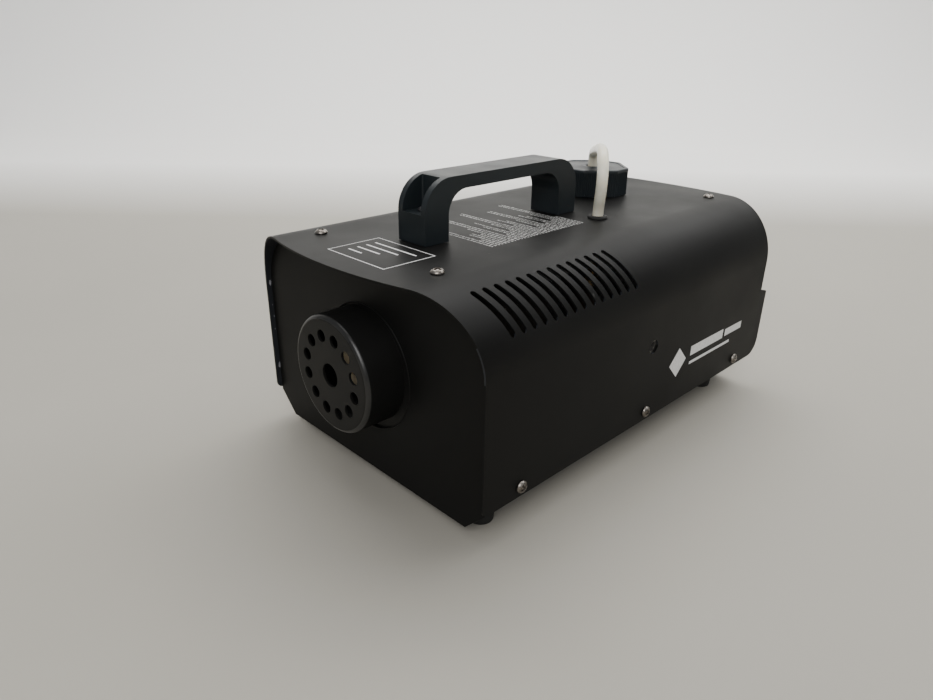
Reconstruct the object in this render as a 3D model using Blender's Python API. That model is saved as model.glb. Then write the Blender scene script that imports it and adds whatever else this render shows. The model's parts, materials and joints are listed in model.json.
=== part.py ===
"""Fog machine: sheet-metal casing, nozzle shroud, handle, fluid tank, pump, heater and controls.

Metres, +Z up. The nozzle faces -Y, the control panel faces +Y. The origin is on the surface
the feet stand on, under the middle of the machine.
"""
import math

import bmesh
import bpy
from mathutils import Matrix, Vector

# Driving dimensions -------------------------------------------------------------------
SHEET = 0.0012            # casing steel
GAP = 0.0003              # clearance between touching pieces
HALF_WIDTH = 0.1005       # cover, outside
TOP_Z = 0.140             # cover, outside top
CORNER_R = 0.0405         # bend between cover top and walls
WALL_LOW_Z = 0.023        # lower edge of the cover walls
FLOOR_Z = 0.007           # underside of the chassis
CHAMFER = 0.0145          # sloped lower edges of the chassis

WALL_FRONT_Y = -0.1463    # front edge of the cover walls
HOOD_FRONT_Y = -0.1663    # middle of the bowed front edge of the cover top
WALL_REAR_Y = 0.1517      # upper rear edge of the cover walls
SKIRT_REAR_Y = 0.1613     # lower rear edge of the cover walls
HOOD_REAR_Y = 0.16675     # middle of the bowed rear edge of the cover top
SKIRT_Z = 0.0755          # height where the wall's rear edge steps out
FRONT_PANEL_Y = -0.1433   # outer face of the front panel
REAR_PANEL_Y = 0.1497     # outer face of the rear panel

SIDE_SCREW_Y = (-0.1172, 0.0028, 0.1228)
SIDE_SCREW_Z = 0.0292
TOP_SCREW_X = 0.0517
TOP_SCREW_Y = (-0.1326, 0.1423)
BRACKET_Y, BRACKET_Z = 0.0035, 0.0744

SLOT_COUNT = 14
SLOT_PITCH = 0.00812
SLOT_FIRST_Y = -0.1331    # upper end of the first vent slot
SLOT_SLANT = 0.0100       # the lower end lies this much further back
SLOT_WIDTH = 0.0036
SLOT_ARC = (0.406, 1.133)  # radians down the corner bend, upper and lower end

NOZZLE_Z = 0.0755
SHROUD_R = 0.0348
SHROUD_FACE_Y = -0.16675
SHROUD_HOLES = 12
SHROUD_RING_R = 0.0229
SHROUD_HOLE_R = 0.0037
SHROUD_BORE_R = 0.0070
PANEL_HOLE = (0.0025, 0.0745, 0.0377)  # X, Z and radius of the round hole the shroud stands in

HANDLE_X = 0.0015
HANDLE_W = 0.0235
HANDLE_Y = (-0.1068, 0.0277)
HANDLE_TOP_Z = 0.177
HANDLE_BAR = 0.0076       # thickness of the grip
HANDLE_LEG = 0.0178       # front-to-back size of each leg
HANDLE_OUTER_R = 0.0195
HANDLE_INNER_R = 0.0140
POCKET_W = 0.0155
POCKET_Z = 0.1575

TANK_X = (-0.082, 0.038)
TANK_Y = (0.044, 0.1156)
TANK_Z = (0.0086, 0.126)
TANK_WALL = 0.002
CAP_X, CAP_Y = -0.0205, 0.092
CAP_R = 0.028             # at the corners
CAP_TOP_Z = 0.160
CAP_TURN = 3.6            # degrees the cap's four short flats are turned from the axes
CAP_SHORT, CAP_LONG = 36.0, 54.0  # degrees each flat spans
NECK_R = 0.0225
NECK_TOP_Z = 0.150

GROMMET_X, GROMMET_Y = 0.0353, 0.0245
HOSE_R = 0.0036

FOOT_X, FOOT_Y = 0.078, (-0.1245, 0.1215)

HEATER_X = 0.032          # half width of the heater block
HEATER_Y = (-0.118, -0.015)
HEATER_HALF_H = 0.0225

PUMP_BASE_Z = 0.048

PANEL_ROW_Z = 0.042       # height of the rear controls
INLET_X, SWITCH_X, REMOTE_X, BUTTON_X = -0.062, -0.012, 0.028, 0.066
LAMP_Z = 0.075

# Colour, roughness and metallic value of each material ----------------------------------
FINISHES = {
    "powder_coat": ((0.030, 0.030, 0.029), 0.55, 0.0),
    "black_plastic": ((0.022, 0.023, 0.025), 0.45, 0.0),
    "black_rubber": ((0.018, 0.018, 0.018), 0.80, 0.0),
    "nickel_steel": ((0.60, 0.57, 0.52), 0.32, 1.0),
    "brass": ((0.72, 0.52, 0.26), 0.35, 1.0),
    "cast_aluminium": ((0.55, 0.55, 0.54), 0.50, 1.0),
    "steel": ((0.50, 0.50, 0.50), 0.40, 1.0),
    "ceramic_fibre": ((0.72, 0.66, 0.52), 0.95, 0.0),
    "tank_plastic": ((0.78, 0.79, 0.76), 0.40, 0.0),
    "hose_silicone": ((0.86, 0.85, 0.78), 0.35, 0.0),
    "circuit_green": ((0.04, 0.20, 0.08), 0.50, 0.0),
    "copper_winding": ((0.55, 0.22, 0.08), 0.40, 0.6),
    "lamp_green": ((0.05, 0.55, 0.12), 0.20, 0.0),
    "button_red": ((0.60, 0.04, 0.03), 0.40, 0.0),
}


# Tools ----------------------------------------------------------------------------------
def material(finish):
    """The Principled material of one finish, made once."""
    made = bpy.data.materials.get(finish)
    if made:
        return made
    color, roughness, metallic = FINISHES[finish]
    made = bpy.data.materials.new(finish)
    made.use_nodes = True
    shader = made.node_tree.nodes["Principled BSDF"]
    shader.inputs["Base Color"].default_value = (*color, 1.0)
    shader.inputs["Roughness"].default_value = roughness
    shader.inputs["Metallic"].default_value = metallic
    return made


def add_object(name, bm, finish, location=(0, 0, 0), sharp=35):
    """Turn a bmesh into a named object with outward normals and smooth round faces."""
    bmesh.ops.recalc_face_normals(bm, faces=bm.faces)
    mesh = bpy.data.meshes.new(name)
    bm.to_mesh(mesh)
    bm.free()
    mesh.shade_smooth()
    mesh.set_sharp_from_angle(angle=math.radians(sharp))
    obj = bpy.data.objects.new(name, mesh)
    obj.location = location
    bpy.context.scene.collection.objects.link(obj)
    if finish:
        mesh.materials.append(material(finish))
    return obj


def helper(obj):
    """Mark an object as a boolean tool that isn't a piece of the machine."""
    obj.hide_render = True
    obj.display_type = "WIRE"
    return obj


def boolean(target, tool, operation="DIFFERENCE"):
    modifier = target.modifiers.new(operation.title(), "BOOLEAN")
    modifier.operation = operation
    modifier.solver = "EXACT"
    modifier.object = helper(tool)
    return target


def spot(axis, along, a, b):
    """A point from its coordinate along an axis and its two other coordinates, in order."""
    return {"X": (along, a, b), "Y": (a, along, b), "Z": (a, b, along)}[axis]


def add_prism(bm, outline, axis, low, high):
    """Extrude a closed outline, drawn across an axis, from low to high along that axis."""
    lower = [bm.verts.new(spot(axis, low, a, b)) for a, b in outline]
    upper = [bm.verts.new(spot(axis, high, a, b)) for a, b in outline]
    bm.faces.new(lower)
    bm.faces.new(upper[::-1])
    for i in range(len(outline)):
        j = (i + 1) % len(outline)
        bm.faces.new((lower[i], lower[j], upper[j], upper[i]))


def prism(name, outline, axis, low, high, finish=None, location=(0, 0, 0)):
    bm = bmesh.new()
    add_prism(bm, outline, axis, low, high)
    return add_object(name, bm, finish, location)


def rectangle(a0, a1, b0, b1):
    return [(a0, b0), (a1, b0), (a1, b1), (a0, b1)]


def circle(a, b, radius, sides=24, turn=0.0):
    steps = [turn + 2 * math.pi * i / sides for i in range(sides)]
    return [(a + radius * math.cos(t), b + radius * math.sin(t)) for t in steps]


def arc(a, b, radius, start, end, steps):
    """Points on an arc, angles in degrees, both ends included."""
    angles = [math.radians(start + (end - start) * i / steps) for i in range(steps + 1)]
    return [(a + radius * math.cos(t), b + radius * math.sin(t)) for t in angles]


def block(name, x, y, z, finish=None, bevel=0.0, location=(0, 0, 0)):
    """A box from its x, y and z ranges, with an optional one-step edge bevel."""
    obj = prism(name, rectangle(*x, *y), "Z", *z, finish, location)
    if bevel:
        modifier = obj.modifiers.new("Edge", "BEVEL")
        modifier.width = bevel
        modifier.segments = 2
    return obj


def turned(name, profile, axis="Z", finish=None, location=(0, 0, 0), sides=24):
    """Spin a profile of (radius, height) points about an axis through the location."""
    bm = bmesh.new()
    rings = []
    for radius, height in profile:
        if radius == 0:
            rings.append([bm.verts.new(spot(axis, height, 0, 0))])
        else:
            ring = circle(0, 0, radius, sides)
            rings.append([bm.verts.new(spot(axis, height, a, b)) for a, b in ring])
    pairs = list(zip(rings, rings[1:]))
    if profile[0][0] > 0:
        pairs.append((rings[-1], rings[0]))
    for one, two in pairs:
        for i in range(sides):
            j = (i + 1) % sides
            corners = [one[i % len(one)], one[j % len(one)], two[j % len(two)], two[i % len(two)]]
            unique = list(dict.fromkeys(corners))
            if len(unique) > 2:
                bm.faces.new(unique)
    return add_object(name, bm, finish, location)


def smooth_route(points, per_span):
    """Catmull-Rom points through a hand-set route."""
    spots = [Vector(p) for p in points]
    ends = [2 * spots[0] - spots[1], *spots, 2 * spots[-1] - spots[-2]]
    route = []
    for p0, p1, p2, p3 in zip(ends, ends[1:], ends[2:], ends[3:]):
        for i in range(per_span):
            t = i / per_span
            route.append(0.5 * (2 * p1 + (p2 - p0) * t + (2 * p0 - 5 * p1 + 4 * p2 - p3) * t * t
                                + (3 * p1 - p0 - 3 * p2 + p3) * t ** 3))
    route.append(spots[-1])
    return route


def tube(name, points, radius, finish, resolution=2, location=(0, 0, 0)):
    """A round bar or hose along a list of points, as a bevelled curve with closed ends."""
    curve = bpy.data.curves.new(name, "CURVE")
    curve.dimensions = "3D"
    curve.bevel_depth = radius
    curve.bevel_resolution = resolution
    curve.use_fill_caps = True
    spline = curve.splines.new("POLY")
    spline.points.add(len(points) - 1)
    for slot, point in zip(spline.points, points):
        slot.co = (*point, 1.0)
    obj = bpy.data.objects.new(name, curve)
    obj.location = location
    curve.materials.append(material(finish))
    bpy.context.scene.collection.objects.link(obj)
    return obj


def helix(turns, radius, low, high, steps=8):
    """Points of an upright coil spring."""
    count = turns * steps
    turn = 2 * math.pi / steps
    return [(radius * math.cos(turn * i), radius * math.sin(turn * i), low + (high - low) * i / count)
            for i in range(count + 1)]


# Casing ---------------------------------------------------------------------------------
def casing_outline(inset, low_z, arc_steps=10):
    """Half of the casing's cross-section, right lower end up to the top bend, drawn in X and Z."""
    half = HALF_WIDTH - inset
    radius = CORNER_R - inset
    bend = arc(half - radius, TOP_Z - inset - radius, radius, 0, 90, arc_steps)
    return [(half, low_z), *bend]


def bow(x, edge_y, middle_y):
    """The Y of a bowed cover edge at distance x from the middle."""
    return middle_y + (edge_y - middle_y) * (x / HALF_WIDTH) ** 2


def rounded_corner(height, radius):
    """How far a rounded corner cuts back an edge at one height above the corner."""
    drop = max(0.0, radius - height)
    return radius - math.sqrt(max(0.0, radius ** 2 - drop ** 2))


def cover_edges(x, z):
    """Front and rear Y of the cover sheet at one point of its cross-section."""
    front = bow(x, WALL_FRONT_Y, HOOD_FRONT_Y)
    rear = bow(x, WALL_REAR_Y, HOOD_REAR_Y)
    if z < SKIRT_Z:
        rear = SKIRT_REAR_Y
        front += rounded_corner(z - WALL_LOW_Z, 0.004)
        rear -= rounded_corner(z - WALL_LOW_Z, 0.012)
    return front, rear


def cover_section():
    """The cover's whole cross-section, from the right wall's foot to the left wall's foot."""
    step = 0.0015
    heights = [WALL_LOW_Z + h for h in (0.0, 0.0012, 0.004, 0.008, 0.012)]
    wall = [(HALF_WIDTH, z) for z in (*heights, SKIRT_Z - step, SKIRT_Z + step)]
    half = wall + casing_outline(0, WALL_LOW_Z)[1:]
    flat = HALF_WIDTH - CORNER_R
    top = [(flat * (1 - i / 5), TOP_Z) for i in range(1, 5)]
    right = half + top
    return right + [(0.0, TOP_Z)] + [(-x, z) for x, z in reversed(right)]


def slot_cutters(bm):
    """Slanted round-ended vent slots across both corner bends."""
    centre_x, centre_z = HALF_WIDTH - CORNER_R, TOP_Z - CORNER_R
    start, end = SLOT_ARC
    middle = (start + end) / 2
    chord = 2 * CORNER_R * math.sin((end - start) / 2)
    length = math.hypot(chord, SLOT_SLANT)
    lean = math.atan2(SLOT_SLANT, chord)
    reach = CORNER_R * math.cos((end - start) / 2)
    round_r = SLOT_WIDTH / 2
    straight = length / 2 - round_r
    outline = arc(straight, 0, round_r, -90, 90, 4) + arc(-straight, 0, round_r, 90, 270, 4)
    for side in (1, -1):
        for i in range(SLOT_COUNT):
            y = SLOT_FIRST_Y + SLOT_SLANT / 2 + i * SLOT_PITCH
            outward = Vector((side * math.sin(middle), 0, math.cos(middle)))
            down = Vector((side * math.cos(middle), 0, -math.sin(middle)))
            along = (down * math.cos(lean) + Vector((0, 1, 0)) * math.sin(lean)).normalized()
            across = outward.cross(along)
            origin = Vector((side * centre_x, y, centre_z)) + outward * reach
            rings = []
            for depth in (-0.006, 0.009):
                rings.append([bm.verts.new(origin + outward * depth + along * a + across * b)
                              for a, b in outline])
            bm.faces.new(rings[0])
            bm.faces.new(rings[1][::-1])
            for j in range(len(outline)):
                k = (j + 1) % len(outline)
                bm.faces.new((rings[0][j], rings[0][k], rings[1][k], rings[1][j]))


def make_cover():
    bm = bmesh.new()
    rows = []
    for x, z in cover_section():
        front, rear = cover_edges(x, z)
        rows.append((bm.verts.new((x, front, z)), bm.verts.new((x, rear, z))))
    for (front_a, rear_a), (front_b, rear_b) in zip(rows, rows[1:]):
        bm.faces.new((front_a, rear_a, rear_b, front_b))
    for face in bm.faces:
        face.normal_update()
    mesh = bpy.data.meshes.new("top_cover")
    bm.to_mesh(mesh)
    bm.free()
    mesh.materials.append(material("powder_coat"))
    mesh.shade_smooth()
    mesh.set_sharp_from_angle(angle=math.radians(35))
    cover = bpy.data.objects.new("top_cover", mesh)
    bpy.context.scene.collection.objects.link(cover)
    thick = cover.modifiers.new("Sheet", "SOLIDIFY")
    thick.thickness = SHEET
    thick.offset = -1.0
    thick.use_even_offset = True
    cutter = bmesh.new()
    slot_cutters(cutter)
    for side in (1, -1):
        wall = (side * (HALF_WIDTH - 0.004), side * (HALF_WIDTH + 0.004))
        for y in SIDE_SCREW_Y:
            add_prism(cutter, circle(y, SIDE_SCREW_Z, 0.0022, 12), "X", *wall)
        add_prism(cutter, circle(BRACKET_Y, BRACKET_Z, 0.0046, 20), "X", *wall)
        for y in TOP_SCREW_Y:
            add_prism(cutter, circle(side * TOP_SCREW_X, y, 0.0022, 12), "Z", 0.130, 0.150)
    for y in handle_screw_rows():
        add_prism(cutter, circle(HANDLE_X, y, 0.0025, 12), "Z", 0.130, 0.150)
    add_prism(cutter, circle(CAP_X, CAP_Y, NECK_R + 0.0008, 40), "Z", 0.130, 0.150)
    add_prism(cutter, circle(GROMMET_X, GROMMET_Y, 0.0055, 20), "Z", 0.130, 0.150)
    boolean(cover, add_object("cover_cutter", cutter, None))


def panel_outline():
    """End panel: follows the inside of the cover, with sloped lower corners."""
    inset = SHEET + GAP
    right = [(HALF_WIDTH - inset - CHAMFER, FLOOR_Z)]
    right += casing_outline(inset, FLOOR_Z + CHAMFER)
    return right + [(-x, z) for x, z in reversed(right)]


def top_flange(name, outline_y):
    """A strip bent back from a panel's top edge, which the cover is screwed to."""
    z = TOP_Z - SHEET - GAP
    return block(name, (-0.056, 0.056), outline_y, (z - SHEET, z))


def panel_screw_holes(cutter, y):
    for side in (1, -1):
        add_prism(cutter, circle(side * TOP_SCREW_X, y, 0.0022, 12), "Z", 0.130, 0.145)


def make_front_panel():
    panel = prism("front_panel", panel_outline(), "Y", FRONT_PANEL_Y, FRONT_PANEL_Y + SHEET, "powder_coat")
    boolean(panel, top_flange("front_flange", (FRONT_PANEL_Y + SHEET / 2, TOP_SCREW_Y[0] + 0.006)), "UNION")
    cutter = bmesh.new()
    add_prism(cutter, circle(*PANEL_HOLE, 48), "Y", FRONT_PANEL_Y - 0.01, FRONT_PANEL_Y + 0.01)
    panel_screw_holes(cutter, TOP_SCREW_Y[0])
    boolean(panel, add_object("front_panel_cutter", cutter, None))


def make_rear_panel():
    inner = REAR_PANEL_Y - SHEET
    panel = prism("rear_panel", panel_outline(), "Y", inner, REAR_PANEL_Y, "powder_coat")
    boolean(panel, top_flange("rear_flange", (TOP_SCREW_Y[1] - 0.006, inner + SHEET / 2)), "UNION")
    cutter = bmesh.new()
    span = (REAR_PANEL_Y - 0.01, REAR_PANEL_Y + 0.01)
    low, high = PANEL_ROW_Z - 0.0160, PANEL_ROW_Z + 0.0130
    add_prism(cutter, rectangle(INLET_X - 0.0158, INLET_X + 0.0158, low, high), "Y", *span)
    low, high = PANEL_ROW_Z - 0.0140, PANEL_ROW_Z + 0.0140
    add_prism(cutter, rectangle(SWITCH_X - 0.0108, SWITCH_X + 0.0108, low, high), "Y", *span)
    add_prism(cutter, circle(REMOTE_X, PANEL_ROW_Z, 0.0108, 24), "Y", *span)
    add_prism(cutter, circle(BUTTON_X, PANEL_ROW_Z, 0.0103, 24), "Y", *span)
    add_prism(cutter, circle(BUTTON_X, LAMP_Z, 0.0041, 16), "Y", *span)
    panel_screw_holes(cutter, TOP_SCREW_Y[1])
    boolean(panel, add_object("rear_panel_cutter", cutter, None))


def make_base_tray():
    """Bottom, sloped edges and side flanges, bent from one sheet."""
    half = HALF_WIDTH - SHEET - GAP
    flange_z = 0.040
    right = [(half - CHAMFER, FLOOR_Z), (half, FLOOR_Z + CHAMFER), (half, flange_z)]
    corner = SHEET * math.tan(math.radians(22.5))
    inside = [(half - SHEET, flange_z), (half - SHEET, FLOOR_Z + CHAMFER + corner),
              (half - CHAMFER - corner, FLOOR_Z + SHEET)]
    outline = right + inside + [(-x, z) for x, z in reversed(right + inside)]
    low, high = FRONT_PANEL_Y + SHEET + GAP, REAR_PANEL_Y - SHEET - GAP
    tray = prism("base_tray", outline, "Y", low, high, "powder_coat")
    cutter = bmesh.new()
    for side in (1, -1):
        wall = (side * (half - 0.004), side * (half + 0.004))
        for y in SIDE_SCREW_Y:
            add_prism(cutter, circle(y, SIDE_SCREW_Z, 0.0022, 12), "X", *wall)
        for y in FOOT_Y:
            add_prism(cutter, circle(side * FOOT_X, y, 0.0032, 12), "Z", 0.0, 0.02)
    boolean(tray, add_object("tray_cutter", cutter, None))


def make_feet():
    """Push-in rubber feet, each with a stem through the tray and a retaining lip."""
    top = FLOOR_Z - GAP
    lip = FLOOR_Z + SHEET + GAP
    profile = [(0, 0), (0.0070, 0), (0.0075, 0.0008), (0.0080, top), (0.0029, top), (0.0029, lip),
               (0.0040, lip), (0.0034, lip + 0.003), (0, lip + 0.003)]
    places = [(x, y) for y in FOOT_Y for x in (-FOOT_X, FOOT_X)]
    names = ("foot_front_left", "foot_front_right", "foot_rear_left", "foot_rear_right")
    for name, (x, y) in zip(names, places):
        turned(name, profile, "Z", "black_rubber", (x, y, 0), 20)


def screw_profile(length):
    """Pan head above zero, shank below."""
    return [(0, 0.0024), (0.0022, 0.0022), (0.0035, 0.0014), (0.0040, 0.0006), (0.0040, 0),
            (0.0019, 0), (0.0019, -length), (0, -length)]


def make_cover_screws():
    def seated(sign):
        return [(r, sign * (h + GAP)) for r, h in screw_profile(0.008)]

    for side, label in ((1, "right"), (-1, "left")):
        for y, place in zip(SIDE_SCREW_Y, ("front", "middle", "rear")):
            spot_xyz = (side * HALF_WIDTH, y, SIDE_SCREW_Z)
            turned(f"side_screw_{label}_{place}", seated(side), "X", "nickel_steel", spot_xyz, 14)
        for y, place in zip(TOP_SCREW_Y, ("front", "rear")):
            spot_xyz = (side * TOP_SCREW_X, y, TOP_Z)
            turned(f"top_screw_{label}_{place}", seated(1), "Z", "nickel_steel", spot_xyz, 14)


def make_bracket_nuts():
    """Weld nuts behind the side walls, for the hanging bracket's knobs."""
    for side, label in ((1, "right"), (-1, "left")):
        outer = side * (HALF_WIDTH - SHEET - GAP)
        inner = side * (HALF_WIDTH - SHEET - 0.008)
        nut = prism(f"bracket_nut_{label}", circle(BRACKET_Y, BRACKET_Z, 0.0085, 6), "X",
                    min(outer, inner), max(outer, inner), "steel")
        bore = prism(f"bracket_bore_{label}", circle(BRACKET_Y, BRACKET_Z, 0.0034, 16), "X",
                     side * 0.080, side * 0.110)
        boolean(nut, bore)


# Nozzle ---------------------------------------------------------------------------------
def make_nozzle():
    wall, round_r, flange_r = 0.0015, 0.003, 0.043
    back = FRONT_PANEL_Y + SHEET + GAP
    face = SHROUD_FACE_Y
    rim = [(SHROUD_R - round_r + a, face + round_r + b) for a, b in arc(0, 0, round_r, -90, 0, 4)]
    inner = SHROUD_R - wall
    profile = [(0, face), *rim, (SHROUD_R, back), (flange_r, back), (flange_r, back + SHEET),
               (inner, back + SHEET), (inner, face + round_r), (inner - round_r, face + wall), (0, face + wall)]
    shroud = turned("nozzle_shroud", profile, "Y", "powder_coat", (0, 0, NOZZLE_Z), 48)
    cutter = bmesh.new()
    span = (face - 0.003, face + 0.004)
    add_prism(cutter, circle(0, NOZZLE_Z, SHROUD_BORE_R, 20), "Y", *span)
    for i in range(SHROUD_HOLES):
        angle = 2 * math.pi * (i + 0.5) / SHROUD_HOLES
        a, b = SHROUD_RING_R * math.cos(angle), NOZZLE_Z + SHROUD_RING_R * math.sin(angle)
        add_prism(cutter, circle(a, b, SHROUD_HOLE_R, 12), "Y", *span)
    boolean(shroud, add_object("shroud_cutter", cutter, None))
    seat = HEATER_Y[0] - GAP
    tip = [(0.0010, -0.153), (0.0030, -0.153), (0.0055, -0.149), (0.0055, -0.132), (0.0095, -0.132),
           (0.0095, seat), (0.0010, seat)]
    turned("nozzle_tip", tip, "Y", "brass", (0, 0, NOZZLE_Z), 18)
    collar = [(0.0058, -0.1325), (0.0058, -0.1500), (0.0125, -0.1500), (0.0125, -0.1325)]
    turned("nozzle_collar", collar, "Y", "ceramic_fibre", (0, 0, NOZZLE_Z), 32)


# Handle ---------------------------------------------------------------------------------
def handle_screw_rows():
    front, rear = HANDLE_Y
    return front + 0.0095, rear - 0.0095


def make_handle():
    front, rear = HANDLE_Y
    base, top = TOP_Z + GAP, HANDLE_TOP_Z
    outer, inner, under = HANDLE_OUTER_R, HANDLE_INNER_R, HANDLE_TOP_Z - HANDLE_BAR
    leg = HANDLE_LEG
    outline = [(front, base)]
    outline += arc(front + outer, top - outer, outer, 180, 90, 7)
    outline += arc(rear - outer, top - outer, outer, 90, 0, 7)
    outline += [(rear, base), (rear - leg, base)]
    outline += arc(rear - leg - inner, under - inner, inner, 0, 90, 6)
    outline += arc(front + leg + inner, under - inner, inner, 90, 180, 6)
    outline += [(front + leg, base)]
    handle = prism("handle", outline, "X", HANDLE_X - HANDLE_W / 2, HANDLE_X + HANDLE_W / 2, "black_plastic")
    cutter = bmesh.new()
    half = POCKET_W / 2
    for y0, y1 in ((front - 0.002, front + leg - 0.0026), (rear - leg + 0.0026, rear + 0.002)):
        add_prism(cutter, rectangle(HANDLE_X - half, HANDLE_X + half, y0, y1), "Z", POCKET_Z, top + 0.003)
    boolean(handle, add_object("handle_pockets", cutter, None))
    bores = bmesh.new()
    for y in handle_screw_rows():
        add_prism(bores, circle(HANDLE_X, y, 0.0025, 12), "Z", base - 0.002, POCKET_Z + 0.002)
    boolean(handle, add_object("handle_bores", bores, None))
    shank = [(r, h + GAP) for r, h in screw_profile(POCKET_Z - TOP_Z + 0.008)]
    for y, place in zip(handle_screw_rows(), ("front", "rear")):
        turned(f"handle_screw_{place}", shank, "Z", "nickel_steel", (HANDLE_X, y, POCKET_Z), 14)


# Fluid side -----------------------------------------------------------------------------
def make_tank():
    def shell(name, inset, neck_r, neck_low, neck_high, finish):
        x, y, z = ((low + inset, high - inset) for low, high in (TANK_X, TANK_Y, TANK_Z))
        body = block(name, x, y, z, finish)
        neck = prism(name + "_neck", circle(CAP_X, CAP_Y, neck_r, 32), "Z", neck_low, neck_high)
        return boolean(body, neck, "UNION")

    tank = shell("fluid_tank", 0, NECK_R, TANK_Z[1] - 0.01, NECK_TOP_Z, "tank_plastic")
    hollow = shell("tank_hollow", TANK_WALL, NECK_R - TANK_WALL, TANK_Z[1] - 0.01, NECK_TOP_Z + 0.01, None)
    boolean(tank, hollow)


def make_cap():
    """Screw cap with four long and four short flats round its skirt."""
    ceiling = NECK_TOP_Z + 0.0025
    low = TOP_Z + 0.0005
    outline = []
    for quarter in range(4):
        start = CAP_TURN - CAP_SHORT / 2 + 90 * quarter
        for angle in (start, start + CAP_SHORT):
            t = math.radians(angle)
            outline.append((CAP_R * math.cos(t), CAP_R * math.sin(t)))
    place = (CAP_X, CAP_Y, 0)
    cap = prism("tank_cap", outline, "Z", low, CAP_TOP_Z, "black_plastic", place)
    edge = cap.modifiers.new("Edge", "BEVEL")
    edge.width = 0.0012
    edge.segments = 2
    edge.limit_method = "ANGLE"
    edge.angle_limit = math.radians(60)
    skirt_r = NECK_R + 0.0004
    bore = HOSE_R + 0.0015
    hollow = [(0, low - 0.002), (skirt_r, low - 0.002), (skirt_r, ceiling), (bore, ceiling),
              (bore, CAP_TOP_Z + 0.002), (0, CAP_TOP_Z + 0.002)]
    boolean(cap, turned("cap_hollow", hollow, "Z", None, place, 40))
    low, high = NECK_TOP_Z + GAP, ceiling - GAP
    seal = [(0.0185, high), (0.0222, high), (0.0222, low), (0.0185, low)]
    turned("cap_seal", seal, "Z", "black_rubber", place, 32)


def make_hose():
    """Suction hose: filter in the tank, up through the cap, over, and down to the pump."""
    reach = ((0.008, 0.1672), (0.05, 0.1702), (0.18, 0.1730), (0.38, 0.1759), (0.62, 0.1796), (0.82, 0.1818),
             (0.97, 0.1810), (1.08, 0.1750), (1.12, 0.1660), (1.08, 0.1560), (1.02, 0.1470))
    route = [(CAP_X, CAP_Y, z) for z in (0.0203, 0.055, 0.100, 0.140, 0.158, 0.1640)]
    route += [(CAP_X + (GROMMET_X - CAP_X) * t, CAP_Y + (GROMMET_Y - CAP_Y) * t, z) for t, z in reach]
    route += [(GROMMET_X, GROMMET_Y, z) for z in (0.139, 0.125, PUMP_BASE_Z + 0.0623)]
    tube("suction_hose", smooth_route(route, 4), HOSE_R, "hose_silicone", 2)
    strainer = [(0, 0.0120), (0.0065, 0.0120), (0.0065, 0.0195), (0.0045, 0.0200), (0, 0.0200)]
    turned("suction_filter", strainer, "Z", "brass", (CAP_X, CAP_Y, 0), 16)
    low, high, inside = TOP_Z - SHEET - GAP, TOP_Z + GAP, HOSE_R + 0.0004
    ring = [(inside, high + 0.0018), (0.0058, high + 0.0018), (0.0066, high), (0.0051, high), (0.0051, low),
            (0.0064, low), (0.0058, low - 0.0016), (inside, low - 0.0016)]
    turned("hose_grommet", ring, "Z", "black_rubber", (GROMMET_X, GROMMET_Y, 0), 20)


def make_pump():
    """Vibration pump: yoke, coil, cylinder, sprung plunger."""
    x, y, z = GROMMET_X, GROMMET_Y, PUMP_BASE_Z
    place = (x, y, z)
    cylinder = [(0.0014, -0.006), (0.0030, -0.006), (0.0030, 0.002), (0.0062, 0.002), (0.0062, 0.054),
                (0.0030, 0.054), (0.0030, 0.062), (0.0014, 0.062), (0.0014, 0.052), (0.0044, 0.052),
                (0.0044, 0.004), (0.0014, 0.004)]
    turned("pump_cylinder", cylinder, "Z", "brass", place, 16)
    coil = [(0.0066, 0.010), (0.0150, 0.010), (0.0150, 0.046), (0.0066, 0.046)]
    turned("pump_coil", coil, "Z", "copper_winding", place, 24)
    plunger = [(0.0010, 0.018), (0.0040, 0.018), (0.0040, 0.040), (0.0010, 0.040)]
    turned("pump_plunger", plunger, "Z", "steel", place, 12)
    tube("pump_spring", helix(5, 0.0033, 0.0050, 0.0172), 0.0004, "steel", 1, place)
    ring_low, ring_high = 0.0060, 0.0480
    yoke = prism("pump_yoke", rectangle(-0.0170, 0.0170, ring_low, ring_high + 0.0020), "Y",
                 -0.0120, 0.0120, "steel", place)
    window = prism("yoke_window", rectangle(-0.0153, 0.0153, ring_low + 0.0037, ring_high - 0.0017), "Y",
                   -0.02, 0.02, None, place)
    boolean(yoke, window)
    legs = prism("yoke_legs", rectangle(-0.0170, 0.0170, FLOOR_Z + SHEET + GAP - z, ring_low + 0.0018), "Y",
                 0.0100, 0.0120, None, place)
    boolean(yoke, legs, "UNION")
    shelf = FLOOR_Z + SHEET + GAP - z
    foot = block("yoke_foot", (-0.0170, 0.0170), (-0.0120, 0.0110), (shelf, shelf + 0.0020), None, 0, place)
    boolean(yoke, foot, "UNION")
    bore = prism("yoke_bore", circle(0, 0, 0.0066, 20), "Z", -0.010, 0.070, None, place)
    boolean(yoke, bore)
    route = [(x, y, z - 0.0064), (x, y, z - 0.014), (x - 0.003, y - 0.004, z - 0.0215),
             (x - 0.012, y - 0.018, z - 0.0230), (x - 0.022, y - 0.029, z - 0.017), (0.0060, -0.0035, 0.045),
             (0.0008, -0.0030, 0.060), (0.0, -0.0052, 0.0710), (0.0, -0.0095, 0.0752), (0.0, -0.0145, NOZZLE_Z)]
    tube("outlet_pipe", smooth_route(route, 3), 0.0018, "steel", 2)


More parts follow.
